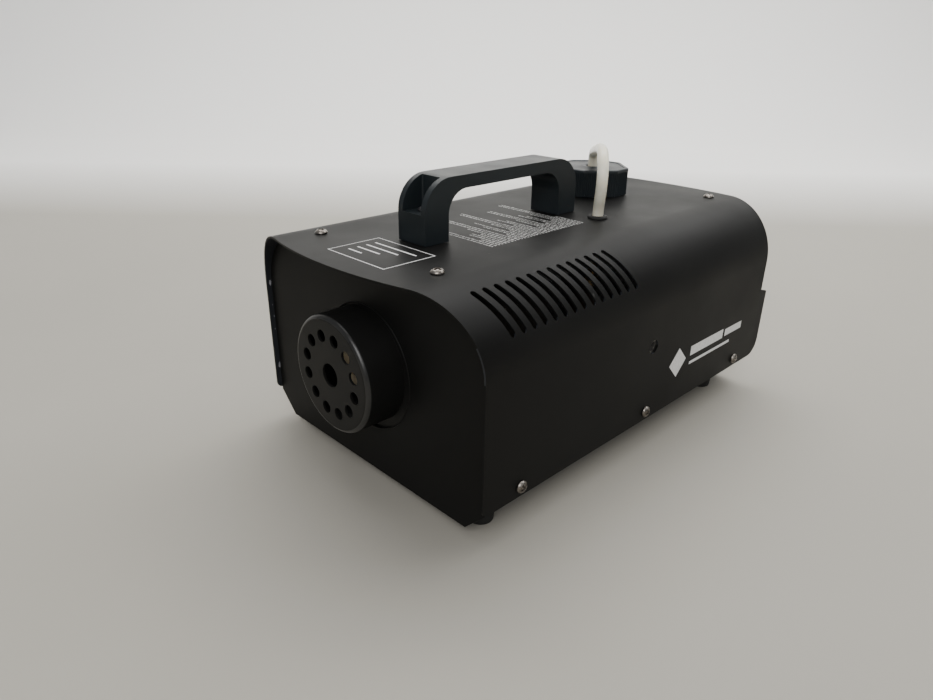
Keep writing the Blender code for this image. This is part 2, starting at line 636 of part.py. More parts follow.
# Heater ---------------------------------------------------------------------------------
def make_heater():
    front, rear = HEATER_Y
    low, high = NOZZLE_Z - HEATER_HALF_H, NOZZLE_Z + HEATER_HALF_H
    heater = block("heater_block", (-HEATER_X, HEATER_X), HEATER_Y, (low, high), "cast_aluminium", 0.003)
    cutter = bmesh.new()
    add_prism(cutter, circle(0, NOZZLE_Z, 0.0022, 12), "Y", front - 0.01, rear + 0.01)
    element_x = 0.019
    for x in (-element_x, element_x):
        add_prism(cutter, circle(x, NOZZLE_Z, 0.0063, 16), "Y", front - 0.01, rear + 0.01)
    boolean(heater, add_object("heater_cutter", cutter, None))
    rod = [(0, front + 0.002), (0.0060, front + 0.002), (0.0060, rear + 0.003), (0.0022, rear + 0.003),
           (0.0022, rear + 0.010), (0, rear + 0.010)]
    for x, label in ((element_x, "right"), (-element_x, "left")):
        turned(f"heating_element_{label}", rod, "Y", "steel", (x, 0, NOZZLE_Z), 16)
    jacket_in, jacket_out = 0.0005, 0.0075
    jacket = block("heater_jacket", (-HEATER_X - jacket_out, HEATER_X + jacket_out),
                   (front + 0.010, rear - 0.010), (low - jacket_out, high + jacket_out), "ceramic_fibre", 0.004)
    room = block("jacket_room", (-HEATER_X - jacket_in, HEATER_X + jacket_in), (front, rear),
                 (low - jacket_in, high + jacket_in))
    boolean(jacket, room)
    windows = bmesh.new()
    thermostat_y, cutout_y = -0.050, -0.085
    add_prism(windows, circle(0, thermostat_y, 0.0100, 20), "Z", high, high + 0.02)
    add_prism(windows, circle(0, cutout_y, 0.0075, 16), "Z", high, high + 0.02)
    boolean(jacket, add_object("jacket_windows", windows, None))
    disc = [(0, high + GAP), (0.0085, high + GAP), (0.0085, high + 0.006), (0.0060, high + 0.009), (0, high + 0.009)]
    turned("thermostat", disc, "Z", "steel", (0, thermostat_y, 0), 20)
    button = [(0, high + GAP), (0.0060, high + GAP), (0.0060, high + 0.005), (0.0030, high + 0.008), (0, high + 0.008)]
    turned("thermal_cutout", button, "Z", "steel", (0, cutout_y, 0), 16)
    shelf = FLOOR_Z + SHEET + GAP
    for y, label, turn in ((front + 0.0030, "front", 1), (rear - 0.0050, "rear", -1)):
        frame = prism(f"heater_bracket_{label}", rectangle(-0.040, 0.040, shelf, high + 0.007), "Y",
                      y, y + 0.002, "steel")
        window = prism(f"bracket_window_{label}",
                       rectangle(-HEATER_X - GAP, HEATER_X + GAP, low - GAP, high + GAP), "Y", y - 0.01, y + 0.01)
        boolean(frame, window)
        feet = (y + 0.0005, y + 0.014) if turn > 0 else (y - 0.012, y + 0.0015)
        foot = block(f"bracket_foot_{label}", (-0.040, 0.040), feet, (shelf, shelf + 0.002))
        boolean(frame, foot, "UNION")


# Electrics ------------------------------------------------------------------------------
def make_board():
    shelf = FLOOR_Z + SHEET + GAP
    board_z = 0.0200
    carrier = block("board_carrier", (0.045, 0.083), (0.042, 0.110), (shelf, shelf + 0.003), "black_plastic")
    pegs = bmesh.new()
    for x in (0.048, 0.080):
        for y in (0.045, 0.107):
            add_prism(pegs, circle(x, y, 0.0025, 10), "Z", shelf + 0.001, board_z - GAP)
    boolean(carrier, add_object("carrier_pegs", pegs, None), "UNION")
    block("circuit_board", (0.044, 0.084), (0.040, 0.112), (board_z, board_z + 0.0016), "circuit_green")
    top = board_z + 0.0016 + GAP
    block("relay", (0.048, 0.064), (0.085, 0.105), (top, top + 0.016), "black_plastic", 0.0008)
    block("transformer", (0.048, 0.080), (0.048, 0.076), (top, top + 0.026), "copper_winding", 0.0015)
    block("terminal_block", (0.068, 0.078), (0.082, 0.107), (top, top + 0.011), "black_plastic", 0.0008)


def make_inlet():
    """Mains inlet with a fuse drawer below the socket."""
    x, z, face = INLET_X, PANEL_ROW_Z, REAR_PANEL_Y
    low, high = z - 0.0155, z + 0.0125
    inlet = block("power_inlet", (x - 0.0153, x + 0.0153), (face - 0.022, face + 0.001), (low, high), "black_plastic")
    plate = block("inlet_plate", (x - 0.0240, x + 0.0240), (face + GAP, face + 0.003), (low - 0.002, high + 0.002))
    boolean(inlet, plate, "UNION")
    cutter = bmesh.new()
    add_prism(cutter, rectangle(x - 0.0120, x + 0.0120, z - 0.0060, z + 0.0105), "Y", face - 0.014, face + 0.01)
    add_prism(cutter, rectangle(x - 0.0105, x + 0.0105, z - 0.0135, z - 0.0080), "Y", face - 0.018, face + 0.01)
    boolean(inlet, add_object("inlet_cutter", cutter, None))
    pins = bmesh.new()
    for dx, dz in ((-0.0070, 0.0005), (0.0070, 0.0005), (0.0, 0.0045)):
        half_w, half_h = 0.0010, 0.0020
        add_prism(pins, rectangle(x + dx - half_w, x + dx + half_w, z + dz - half_h, z + dz + half_h), "Y",
                  face - 0.016, face - 0.001)
    boolean(inlet, add_object("inlet_pins", pins, None), "UNION")
    block("fuse_drawer", (x - 0.0101, x + 0.0101), (face - 0.0165, face + 0.0046),
          (z - 0.0131, z - 0.0084), "black_plastic", 0.0004)


def make_switch():
    """Rocker switch: open housing and a rocker hinged across it."""
    x, z, face = SWITCH_X, PANEL_ROW_Z, REAR_PANEL_Y
    housing = block("switch_housing", (x - 0.0104, x + 0.0104), (face - 0.020, face + 0.001),
                    (z - 0.0136, z + 0.0136), "black_plastic")
    plate = block("switch_plate", (x - 0.0125, x + 0.0125), (face + GAP, face + 0.0022), (z - 0.0155, z + 0.0155))
    boolean(housing, plate, "UNION")
    axis = Vector((x, face - 0.0030, z))
    well = block("switch_well", (x - 0.0078, x + 0.0078), (face - 0.0120, face + 0.01), (z - 0.0115, z + 0.0115))
    boolean(housing, well)
    boolean(housing, prism("pivot_bore", circle(axis.y, z, 0.0015, 10), "X", x - 0.0094, x + 0.0094))
    off_angle = math.radians(10)
    reach = 0.0100
    outline = [(-0.0060, 0.0), (-0.0030, -0.0050), (0.0020, -reach), (0.0056, -reach), (0.0044, 0.0),
               (0.0056, reach), (0.0020, reach), (-0.0030, 0.0050)]
    rocker = prism("rocker", outline, "X", -0.0073, 0.0073, "black_plastic", axis)
    boolean(rocker, prism("rocker_pivots", circle(0, 0, 0.0012, 10), "X", -0.0089, 0.0089, None, axis), "UNION")
    rocker.rotation_euler = (off_angle, 0, 0)


def make_fog_button():
    x, z, face = BUTTON_X, PANEL_ROW_Z, REAR_PANEL_Y
    place = (x, face, z)
    bezel = [(0.0072, 0.0030), (0.0120, 0.0026), (0.0128, 0.0003), (0.0099, 0.0003), (0.0099, -0.0150),
             (0.0030, -0.0150), (0.0030, -0.0135), (0.0072, -0.0135)]
    turned("button_bezel", bezel, "Y", "black_plastic", place, 24)
    button = [(0, 0.0060), (0.0060, 0.0060), (0.0068, 0.0052), (0.0068, -0.0060), (0, -0.0060)]
    turned("fog_button", button, "Y", "button_red", place, 24)
    coil = [(px, pz, py) for px, py, pz in helix(5, 0.0050, -0.0125, -0.0068)]
    tube("button_spring", coil, 0.0004, "steel", 1, place)


def make_lamp_and_socket():
    place = (BUTTON_X, REAR_PANEL_Y, LAMP_Z)
    lamp = [(0, 0.0035), (0.0025, 0.0030), (0.0042, 0.0012), (0.0050, GAP), (0.0037, GAP), (0.0037, -0.010),
            (0, -0.010)]
    turned("ready_lamp", lamp, "Y", "lamp_green", place, 16)
    socket = [(0, -0.0100), (0.0080, -0.0100), (0.0080, 0.0025), (0.0135, 0.0020), (0.0135, GAP), (0.0104, GAP),
              (0.0104, -0.0180), (0, -0.0180)]
    remote = turned("remote_socket", socket, "Y", "black_plastic", (REMOTE_X, REAR_PANEL_Y, PANEL_ROW_Z), 24)
    pins = bmesh.new()
    for i in range(3):
        a, b = circle(REMOTE_X, PANEL_ROW_Z, 0.0042, 3, math.radians(90))[i]
        add_prism(pins, circle(a, b, 0.0008, 6), "Y", REAR_PANEL_Y - 0.012, REAR_PANEL_Y - 0.001)
    boolean(remote, add_object("remote_pins", pins, None), "UNION")


def main():
    for obj in list(bpy.data.objects):
        bpy.data.objects.remove(obj, do_unlink=True)
    make_cover()
    make_front_panel()
    make_rear_panel()
    make_base_tray()
    make_feet()
    make_cover_screws()
    make_bracket_nuts()
    make_nozzle()
    make_handle()
    make_tank()
    make_cap()
    make_hose()
    make_pump()
    make_heater()
    make_board()
    make_inlet()
    make_switch()
    make_fog_button()
    make_lamp_and_socket()
    bpy.context.view_layer.update()


main()
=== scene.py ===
"""Looks of the fog machine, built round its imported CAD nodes. Metres, in the CAD frame."""
import json
import math
import random

import bmesh
import bpy
from mathutils import Matrix, Vector


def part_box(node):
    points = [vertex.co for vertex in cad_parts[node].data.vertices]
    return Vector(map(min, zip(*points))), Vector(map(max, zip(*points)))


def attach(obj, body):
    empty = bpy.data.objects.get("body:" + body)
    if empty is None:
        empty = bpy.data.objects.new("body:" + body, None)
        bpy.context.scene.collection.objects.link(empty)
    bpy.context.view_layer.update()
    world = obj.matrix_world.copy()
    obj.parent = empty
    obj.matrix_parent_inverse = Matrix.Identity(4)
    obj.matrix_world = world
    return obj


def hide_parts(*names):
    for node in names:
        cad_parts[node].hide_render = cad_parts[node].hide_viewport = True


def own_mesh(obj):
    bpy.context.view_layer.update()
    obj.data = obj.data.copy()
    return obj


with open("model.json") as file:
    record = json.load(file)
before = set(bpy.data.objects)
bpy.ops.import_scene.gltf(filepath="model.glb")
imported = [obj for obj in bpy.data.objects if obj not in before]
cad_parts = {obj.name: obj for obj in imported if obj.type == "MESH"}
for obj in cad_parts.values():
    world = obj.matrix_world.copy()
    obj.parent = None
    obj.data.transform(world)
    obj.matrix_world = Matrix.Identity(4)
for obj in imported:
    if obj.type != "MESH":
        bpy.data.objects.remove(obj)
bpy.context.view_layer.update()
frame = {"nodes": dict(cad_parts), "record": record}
random.seed(7)

# Sizes shared with the CAD model --------------------------------------------------------
cover_low, cover_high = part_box("top_cover")
HALF_W, TOP_Z, WALL_LOW_Z = cover_high.x, cover_high.z, cover_low.z
HOOD_FRONT_Y, HOOD_REAR_Y = cover_low.y, cover_high.y
SHEET, GAP = 0.0012, 0.0003
CORNER_R = 0.0405
WALL_FRONT_Y, WALL_REAR_Y, SKIRT_REAR_Y, SKIRT_Z = -0.1463, 0.1517, 0.1613, 0.0755
PANEL_FRONT_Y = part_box("front_panel")[0].y
PANEL_REAR_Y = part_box("rear_panel")[1].y
FLOOR_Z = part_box("base_tray")[0].z
SIDE_SCREW_Y, SIDE_SCREW_Z = (-0.1172, 0.0028, 0.1228), 0.0292
TOP_SCREW_X, TOP_SCREW_Y = 0.0517, (-0.1326, 0.1423)
BRACKET_Y, BRACKET_Z = 0.0035, 0.0744
SLOT_COUNT, SLOT_PITCH, SLOT_FIRST_Y = 14, 0.00812, -0.1331
SLOT_SLANT, SLOT_WIDTH, SLOT_ARC = 0.0100, 0.0036, (0.406, 1.133)
NOZZLE_Z, SHROUD_R = 0.0755, 0.0348
SHROUD_RING_R, SHROUD_HOLE_R, SHROUD_BORE_R = 0.0229, 0.0037, 0.0070
PANEL_HOLE = (0.0025, 0.0745, 0.0377)
CAP_X, CAP_Y = -0.0205, 0.092
CAP_LOW_Z, CAP_TOP_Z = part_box("tank_cap")[0].z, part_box("tank_cap")[1].z
CAP_R, CAP_TURN, CAP_SHORT = 0.028, 3.6, 36.0
GROMMET_X, GROMMET_Y = 0.0353, 0.0245
HOSE_R = 0.0036
HANDLE_LOW, HANDLE_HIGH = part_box("handle")
HANDLE_X = (HANDLE_LOW.x + HANDLE_HIGH.x) / 2
POCKET_W, POCKET_Z = 0.0155, 0.1575
PANEL_ROW_Z, LAMP_Z = 0.042, 0.075
INLET_X, SWITCH_X, REMOTE_X, BUTTON_X = -0.062, -0.012, 0.028, 0.066

# Sizes of the looks ---------------------------------------------------------------------
SCREW_HOLE_R, BRACKET_HOLE_R, CAP_HOLE_R, GROMMET_HOLE_R = 0.0022, 0.0046, 0.0233, 0.0055
TOP_CUT_Z = (0.130, 0.150)         # the holes in the top are cut between these heights
WALL_CUT = 0.004                   # how far a hole's tool reaches each side of a side wall
COVER_SPANS, CORNER_STEPS = 26, 30
CAP_CORNER_TRIM, CAP_CLEARANCE = 0.0004, 0.0015
CAP_RIBS, CAP_STEPS_PER_RIB, RIB_DEPTH = 104, 4, 0.00045
HOSE_SKIN = 0.00005                # keeps the round hose inside the CAD tube's flats
HEAD_R, RECESS_HALF_LONG, RECESS_HALF_WIDE, RECESS_FLOOR_Z = 0.0038, 0.0023, 0.0007, 0.0004
INK_LIFT, CHIP_LIFT = 0.00006, 0.00005
NOTE_ROWS, NOTE_PITCH, NOTE_EDGE_X, NOTE_FIRST_Y = 31, 0.0028, 0.0370, -0.0778
SMALL_CHIPS = 16
SPRING_WIRE_R, SPRING_TURNS, SPRING_STEPS = 0.0004, 5, 20
CAMERA_AT, CAMERA_LENS, CAMERA_SENSOR = (0.30060, -0.35666, 0.24885), 26.92, 36.0
CAMERA_YAW, CAMERA_PITCH, CAMERA_ROLL = 45.42, 24.27, 0.79
STAGE_HALF_WIDTH, BACKDROP_COLOR = 12, (0.90, 0.89, 0.865, 1.0)
WORLD_COLOR, WORLD_STRENGTH = (0.95, 0.97, 1.0, 1.0), 0.30
BLACK, WHITE = (0, 0, 0), (1, 1, 1)
MARK_STRENGTH = 0.34
SPECK_EDGE, GATE_EDGE, RUB_EDGE = (0.012, 0.020), (0.60, 0.64), (0.800, 0.822)


# Materials ------------------------------------------------------------------------------
def surface(name, dark, light, rough, rough_swing=0.08, mottle=30.0, grain=900.0, bump=0.1,
            metallic=0.0, specular=0.5, stretch=(1, 1, 1), **sockets):
    """A material whose colour, roughness and fine relief vary over the surface."""
    mat = bpy.data.materials.new(name)
    mat.use_nodes = True
    tree = mat.node_tree
    shader = tree.nodes["Principled BSDF"]
    coords = tree.nodes.new("ShaderNodeTexCoord")
    mapping = tree.nodes.new("ShaderNodeMapping")
    mapping.inputs["Scale"].default_value = stretch
    tree.links.new(coords.outputs["Object"], mapping.inputs["Vector"])
    cloud = noise(tree, mapping, mottle, 4)
    fine = noise(tree, mapping, grain, 2)
    tint = ramp(tree, cloud.outputs["Fac"], [(0.32, dark), (0.70, light)])
    tree.links.new(tint.outputs["Color"], shader.inputs["Base Color"])
    swing = tree.nodes.new("ShaderNodeMapRange")
    swing.inputs["From Min"].default_value = 0.3
    swing.inputs["From Max"].default_value = 0.7
    swing.inputs["To Min"].default_value = rough - rough_swing
    swing.inputs["To Max"].default_value = rough + rough_swing
    tree.links.new(cloud.outputs["Fac"], swing.inputs["Value"])
    tree.links.new(swing.outputs["Result"], shader.inputs["Roughness"])
    relief = tree.nodes.new("ShaderNodeBump")
    relief.inputs["Strength"].default_value = bump
    relief.inputs["Distance"].default_value = 0.0002
    tree.links.new(fine.outputs["Fac"], relief.inputs["Height"])
    tree.links.new(relief.outputs["Normal"], shader.inputs["Normal"])
    shader.inputs["Metallic"].default_value = metallic
    shader.inputs["Specular IOR Level"].default_value = specular
    for socket, value in sockets.items():
        shader.inputs[socket.replace("_", " ")].default_value = value
    mat["tint"] = tint.name
    mat["mapping"] = mapping.name
    return mat


def noise(tree, mapping, scale, detail):
    node = tree.nodes.new("ShaderNodeTexNoise")
    node.inputs["Scale"].default_value = scale
    node.inputs["Detail"].default_value = detail
    tree.links.new(mapping.outputs["Vector"], node.inputs["Vector"])
    return node


def ramp(tree, value, stops):
    node = tree.nodes.new("ShaderNodeValToRGB")
    elements = node.color_ramp.elements
    while len(elements) < len(stops):
        elements.new(0.5)
    for element, (at, color) in zip(elements, stops):
        element.position = at
        element.color = (*color, 1.0)
    tree.links.new(value, node.inputs["Fac"])
    return node


def add_marks(mat, color, spots, scratches):
    """Light dust specks and thin rubbed lines over a material's own colour."""
    tree = mat.node_tree
    shader = tree.nodes["Principled BSDF"]
    mapping = tree.nodes[mat["mapping"]]
    cells = tree.nodes.new("ShaderNodeTexVoronoi")
    cells.inputs["Scale"].default_value = spots
    tree.links.new(mapping.outputs["Vector"], cells.inputs["Vector"])
    speck = ramp(tree, cells.outputs["Distance"], [(SPECK_EDGE[0], WHITE), (SPECK_EDGE[1], BLACK)])
    patches = noise(tree, mapping, spots * 0.35, 1)
    gate = ramp(tree, patches.outputs["Fac"], [(GATE_EDGE[0], BLACK), (GATE_EDGE[1], WHITE)])
    turned = tree.nodes.new("ShaderNodeMapping")
    turned.inputs["Rotation"].default_value = (0.5, 0.4, 0.9)
    turned.inputs["Scale"].default_value = (scratches, scratches, scratches * 0.045)
    tree.links.new(mapping.outputs["Vector"], turned.inputs["Vector"])
    lines = noise(tree, turned, 1.0, 1)
    rub = ramp(tree, lines.outputs["Fac"], [(RUB_EDGE[0], BLACK), (RUB_EDGE[1], WHITE)])
    both = mix(tree, "MULTIPLY", 1.0, speck.outputs["Color"], gate.outputs["Color"])
    total = mix(tree, "ADD", 1.0, both, rub.outputs["Color"])
    strength = (MARK_STRENGTH, MARK_STRENGTH, MARK_STRENGTH, 1.0)
    soft = mix(tree, "MULTIPLY", 1.0, total, strength)
    base = tree.nodes[mat["tint"]].outputs["Color"]
    result = tree.nodes.new("ShaderNodeMix")
    result.data_type = "RGBA"
    tree.links.new(soft, result.inputs["Factor"])
    tree.links.new(base, result.inputs["A"])
    result.inputs["B"].default_value = (*color, 1.0)
    tree.links.new(next(o for o in result.outputs if o.type == "RGBA"), shader.inputs["Base Color"])


def mix(tree, kind, factor, a, b):
    node = tree.nodes.new("ShaderNodeMix")
    node.data_type = "RGBA"
    node.blend_type = kind
    node.inputs["Factor"].default_value = factor
    for socket, value in (("A", a), ("B", b)):
        slot = next(s for s in node.inputs if s.name == socket and s.type == "RGBA")
        if isinstance(value, tuple):
            slot.default_value = value
        else:
            tree.links.new(value, slot)
    return next(o for o in node.outputs if o.type == "RGBA")


COAT = surface("coat", (0.0053, 0.0053, 0.0051), (0.0075, 0.0075, 0.0072), rough=0.47, rough_swing=0.05,
               mottle=18, grain=1500, bump=0.10, specular=0.115)
add_marks(COAT, (0.10, 0.10, 0.095), 125.0, 130.0)
# A lighter copy of the coat for the cover's inner faces: painted light, brightening the shaded inside of the
# hood's lip.
PAINTED_LIGHT_INNER_COAT = surface("inner_coat_painted_light", (0.0195, 0.0215, 0.0245), (0.0260, 0.0285, 0.0325), rough=0.50,
                     rough_swing=0.05, mottle=18, grain=1500, bump=0.10, specular=0.20)
CUP_COAT = surface("cup_coat", (0.0078, 0.0078, 0.0074), (0.0112, 0.0112, 0.0107), rough=0.42,
                   rough_swing=0.04, mottle=30, grain=1500, bump=0.08, specular=0.13)
# A lighter, glossier copy of the cup's coat for its rim fillet: worn paint on the rim, and partly a painted
# highlight along it.
CUP_RIM_WEAR_AND_HIGHLIGHT = surface("cup_rim_wear_and_highlight", (0.0085, 0.0085, 0.0082), (0.019, 0.019, 0.0185), rough=0.30,
                   rough_swing=0.05, mottle=60, grain=1500, bump=0.08, specular=0.48)
add_marks(CUP_COAT, (0.09, 0.09, 0.085), 130.0, 170.0)
PLASTIC = surface("moulded_plastic", (0.0112, 0.0150, 0.0172), (0.0148, 0.0196, 0.0224), rough=0.38,
                  rough_swing=0.06, mottle=40, grain=2400, bump=0.12, specular=0.33)
add_marks(PLASTIC, (0.07, 0.07, 0.07), 90.0, 190.0)
CONTROL_PLASTIC = surface("control_plastic", (0.010, 0.010, 0.010), (0.015, 0.015, 0.015), rough=0.34,
                          rough_swing=0.05, mottle=60, grain=2600, bump=0.08)
RUBBER = surface("rubber", (0.010, 0.010, 0.010), (0.020, 0.020, 0.019), rough=0.72, rough_swing=0.08,
                 mottle=70, grain=1800, bump=0.20, specular=0.35)
NICKEL = surface("nickel", (0.13, 0.115, 0.100), (0.34, 0.315, 0.285), rough=0.30, rough_swing=0.10,
                 mottle=420, grain=2600, bump=0.10, metallic=1.0)
# A near-black copy of the screw steel for the heads in the handle's pockets: painted shade in those recesses.
SHADED_SCREW_STEEL = surface("screw_steel_painted_shade", (0.012, 0.012, 0.013), (0.022, 0.022, 0.024), rough=0.42,
                      rough_swing=0.08, mottle=420, grain=2600, bump=0.10)
DULL_STEEL = surface("dull_steel", (0.34, 0.33, 0.31), (0.46, 0.45, 0.43), rough=0.45, rough_swing=0.10,
                     mottle=120, grain=2200, bump=0.15, metallic=1.0)
BRASS = surface("brass", (0.50, 0.33, 0.14), (0.66, 0.47, 0.22), rough=0.38, rough_swing=0.08, mottle=260,
                grain=1900, bump=0.12, metallic=1.0)
CASTING = surface("casting", (0.40, 0.40, 0.39), (0.54, 0.54, 0.53), rough=0.58, rough_swing=0.08,
                  mottle=160, grain=900, bump=0.35, metallic=1.0)
FIBRE = surface("ceramic_fibre", (0.70, 0.58, 0.38), (0.86, 0.76, 0.56), rough=0.92, rough_swing=0.05,
                mottle=240, grain=1100, bump=0.45, specular=0.2)
# A darker copy of the ceramic fibre for the nozzle collar: painted shade on the collar seen deep behind the
# shroud's holes.
SHADED_FIBRE = surface("fibre_painted_shade", (0.50, 0.42, 0.28), (0.66, 0.57, 0.40), rough=0.92, rough_swing=0.05,
                     mottle=240, grain=1100, bump=0.45, specular=0.2)
# Near-black stand-in for the heater jacket: painted shade, so the view into the cover's slots reads dark.
SHADED_JACKET = surface("jacket_painted_shade", (0.030, 0.026, 0.020), (0.060, 0.052, 0.042), rough=0.90,
                 rough_swing=0.05, mottle=240, grain=1100, bump=0.45, specular=0.15)
TANK = surface("tank_plastic", (0.66, 0.67, 0.64), (0.76, 0.77, 0.74), rough=0.42, rough_swing=0.05,
               mottle=30, grain=900, bump=0.10, Subsurface_Weight=0.2,
               Subsurface_Radius=(0.002, 0.002, 0.0018))
HOSE = surface("milky_hose", (0.89, 0.84, 0.68), (0.95, 0.91, 0.77), rough=0.24, rough_swing=0.05,
               mottle=90, grain=1400, bump=0.06, Subsurface_Weight=0.40,
               Subsurface_Radius=(0.0030, 0.0027, 0.0021))
BOARD = surface("circuit_green", (0.016, 0.10, 0.035), (0.03, 0.16, 0.06), rough=0.40, rough_swing=0.05,
                mottle=300, grain=1200, bump=0.10)
# Copper windings darkened almost to black: painted shade, so nothing lights up through the cover's slots.
SHADED_WINDING = surface("copper_winding", (0.022, 0.012, 0.008), (0.045, 0.022, 0.013), rough=0.60,
                  rough_swing=0.06, mottle=30, grain=1600, bump=0.5, metallic=0.3, stretch=(1, 1, 6))
LAMP = surface("lamp_lens", (0.02, 0.30, 0.07), (0.03, 0.38, 0.10), rough=0.16, rough_swing=0.03,
               mottle=200, grain=900, bump=0.03, Coat_Weight=0.5)
RED = surface("red_button", (0.42, 0.018, 0.014), (0.52, 0.026, 0.020), rough=0.30, rough_swing=0.05,
              mottle=160, grain=1600, bump=0.05)
INK = surface("print_ink", (0.66, 0.66, 0.65), (0.80, 0.80, 0.79), rough=0.60, rough_swing=0.05,
              mottle=700, grain=2400, bump=0.10)
FAINT_INK = surface("worn_ink", (0.34, 0.34, 0.33), (0.66, 0.66, 0.64), rough=0.65, rough_swing=0.05,
                    mottle=900, grain=2400, bump=0.10)
CHIP = surface("chipped_edge", (0.20, 0.20, 0.22), (0.42, 0.42, 0.46), rough=0.50, rough_swing=0.08,
               mottle=900, grain=2600, bump=0.2, metallic=0.2)
FLOOR = surface("pale_floor", (0.360, 0.342, 0.300), (0.385, 0.366, 0.322), rough=0.66, rough_swing=0.04,
                mottle=3, grain=160, bump=0.04, specular=0.3)

FINISH = {
    "powder_coat": COAT,
    "black_plastic": CONTROL_PLASTIC,
    "black_rubber": RUBBER,
    "nickel_steel": NICKEL,
    "brass": BRASS,
    "print_white": INK,
    "cast_aluminium": CASTING,
    "steel": DULL_STEEL,
    "ceramic_fibre": FIBRE,
    "tank_plastic": TANK,
    "hose_silicone": HOSE,
    "circuit_green": BOARD,
    "copper_winding": SHADED_WINDING,
    "lamp_green": LAMP,
    "button_red": RED,
}


# Mesh tools -----------------------------------------------------------------------------
def spot(axis, along, a, b):
    return {"X": (along, a, b), "Y": (a, along, b), "Z": (a, b, along)}[axis]


def circle(a, b, radius, sides=48, turn=0.0):
    steps = [turn + 2 * math.pi * i / sides for i in range(sides)]
    return [(a + radius * math.cos(t), b + radius * math.sin(t)) for t in steps]


def arc(a, b, radius, start, end, steps):
    angles = [math.radians(start + (end - start) * i / steps) for i in range(steps + 1)]
    return [(a + radius * math.cos(t), b + radius * math.sin(t)) for t in angles]


def rectangle(a0, a1, b0, b1):
    return [(a0, b0), (a1, b0), (a1, b1), (a0, b1)]


def rounded(a0, a1, b0, b1, r, steps=6):
    """A rectangle with round corners."""
    return (arc(a1 - r, b1 - r, r, 0, 90, steps) + arc(a0 + r, b1 - r, r, 90, 180, steps)
            + arc(a0 + r, b0 + r, r, 180, 270, steps) + arc(a1 - r, b0 + r, r, 270, 360, steps))


def add_prism(bm, outline, axis, low, high):
    lower = [bm.verts.new(spot(axis, low, a, b)) for a, b in outline]
    upper = [bm.verts.new(spot(axis, high, a, b)) for a, b in outline]
    bm.faces.new(lower)
    bm.faces.new(upper[::-1])
    for i in range(len(outline)):
        j = (i + 1) % len(outline)
        bm.faces.new((lower[i], lower[j], upper[j], upper[i]))


def add_turned(bm, profile, axis, centre, sides):
    """Spin a closed profile of (radius, height) points about an axis through the centre."""
    rings = []
    for radius, height in profile:
        if radius == 0:
            rings.append([bm.verts.new(Vector(spot(axis, height, 0, 0)) + centre)])
        else:
            rings.append([bm.verts.new(Vector(spot(axis, height, a, b)) + centre)
                          for a, b in circle(0, 0, radius, sides)])
    pairs = list(zip(rings, rings[1:]))
    if profile[0][0] > 0:
        pairs.append((rings[-1], rings[0]))
    for one, two in pairs:
        for i in range(sides):
            j = (i + 1) % sides
            corners = [one[i % len(one)], one[j % len(one)], two[j % len(two)], two[i % len(two)]]
            unique = list(dict.fromkeys(corners))
            if len(unique) > 2:
                bm.faces.new(unique)


def make(name, bm, mat=None, sharp=35):
    bmesh.ops.recalc_face_normals(bm, faces=bm.faces)
    mesh = bpy.data.meshes.new(name)
    bm.to_mesh(mesh)
    bm.free()
    obj = bpy.data.objects.new(name, mesh)
    bpy.context.scene.collection.objects.link(obj)
    if mat:
        mesh.materials.append(mat)
    shade(obj, sharp)
    return obj


def shade(obj, sharp=35):
    obj.data.shade_smooth()
    obj.data.set_sharp_from_angle(angle=math.radians(sharp))


def prism(name, outline, axis, low, high, mat=None):
    bm = bmesh.new()
    add_prism(bm, outline, axis, low, high)
    return make(name, bm, mat)


def turned(name, profile, axis, centre, mat=None, sides=72, sharp=35):
    bm = bmesh.new()
    add_turned(bm, profile, axis, Vector(centre), sides)
    return make(name, bm, mat, sharp)


def applied(obj):
    """Turn the modifiers so far into plain mesh."""
    graph = bpy.context.evaluated_depsgraph_get()
    mesh = bpy.data.meshes.new_from_object(obj.evaluated_get(graph))
    obj.modifiers.clear()
    obj.data = mesh


def carve(obj, tool):
    """Cut a tool object away and remove the tool."""
    modifier = obj.modifiers.new("carve", "BOOLEAN")
    modifier.operation = "DIFFERENCE"
    modifier.solver = "EXACT"
    modifier.object = tool
    applied(obj)
    bpy.data.objects.remove(tool, do_unlink=True)


def soften(obj, width, segments=2, angle=50):
    """Rounded edges that catch the light, with flat faces kept flat."""
    modifier = obj.modifiers.new("edges", "BEVEL")
    modifier.width = width
    modifier.segments = segments
    modifier.limit_method = "ANGLE"
    modifier.angle_limit = math.radians(angle)
    modifier.use_clamp_overlap = True
    applied(obj)
    shade(obj, 60)
    normals = obj.modifiers.new("normals", "WEIGHTED_NORMAL")
    normals.keep_sharp = True


def place(obj, slot, *replaced, body="housing"):
    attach(obj, body)
    if replaced:
        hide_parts(*replaced)


def polished(name, node, mat, slot, width, body="housing"):
    """A CAD node's own shape with its edges rounded."""
    source = frame["nodes"][node]
    bm = bmesh.new()
    bm.from_mesh(source.data)
    bmesh.ops.remove_doubles(bm, verts=bm.verts, dist=0.00001)
    bmesh.ops.dissolve_limit(bm, angle_limit=math.radians(1), verts=bm.verts, edges=bm.edges)
    obj = make(name, bm, mat)
    soften(obj, width)
    place(obj, slot, node, body=body)


# Casing ---------------------------------------------------------------------------------
def corner_cut(height, radius):
    drop = max(0.0, radius - height)
    return radius - math.sqrt(max(0.0, radius ** 2 - drop ** 2))


def cover_edges(x, z):
    share = (x / HALF_W) ** 2
    front = HOOD_FRONT_Y + (WALL_FRONT_Y - HOOD_FRONT_Y) * share
    rear = HOOD_REAR_Y + (WALL_REAR_Y - HOOD_REAR_Y) * share
    if z < SKIRT_Z:
        rear = SKIRT_REAR_Y - corner_cut(z - WALL_LOW_Z, 0.012)
        front += corner_cut(z - WALL_LOW_Z, 0.004)
    return front, rear


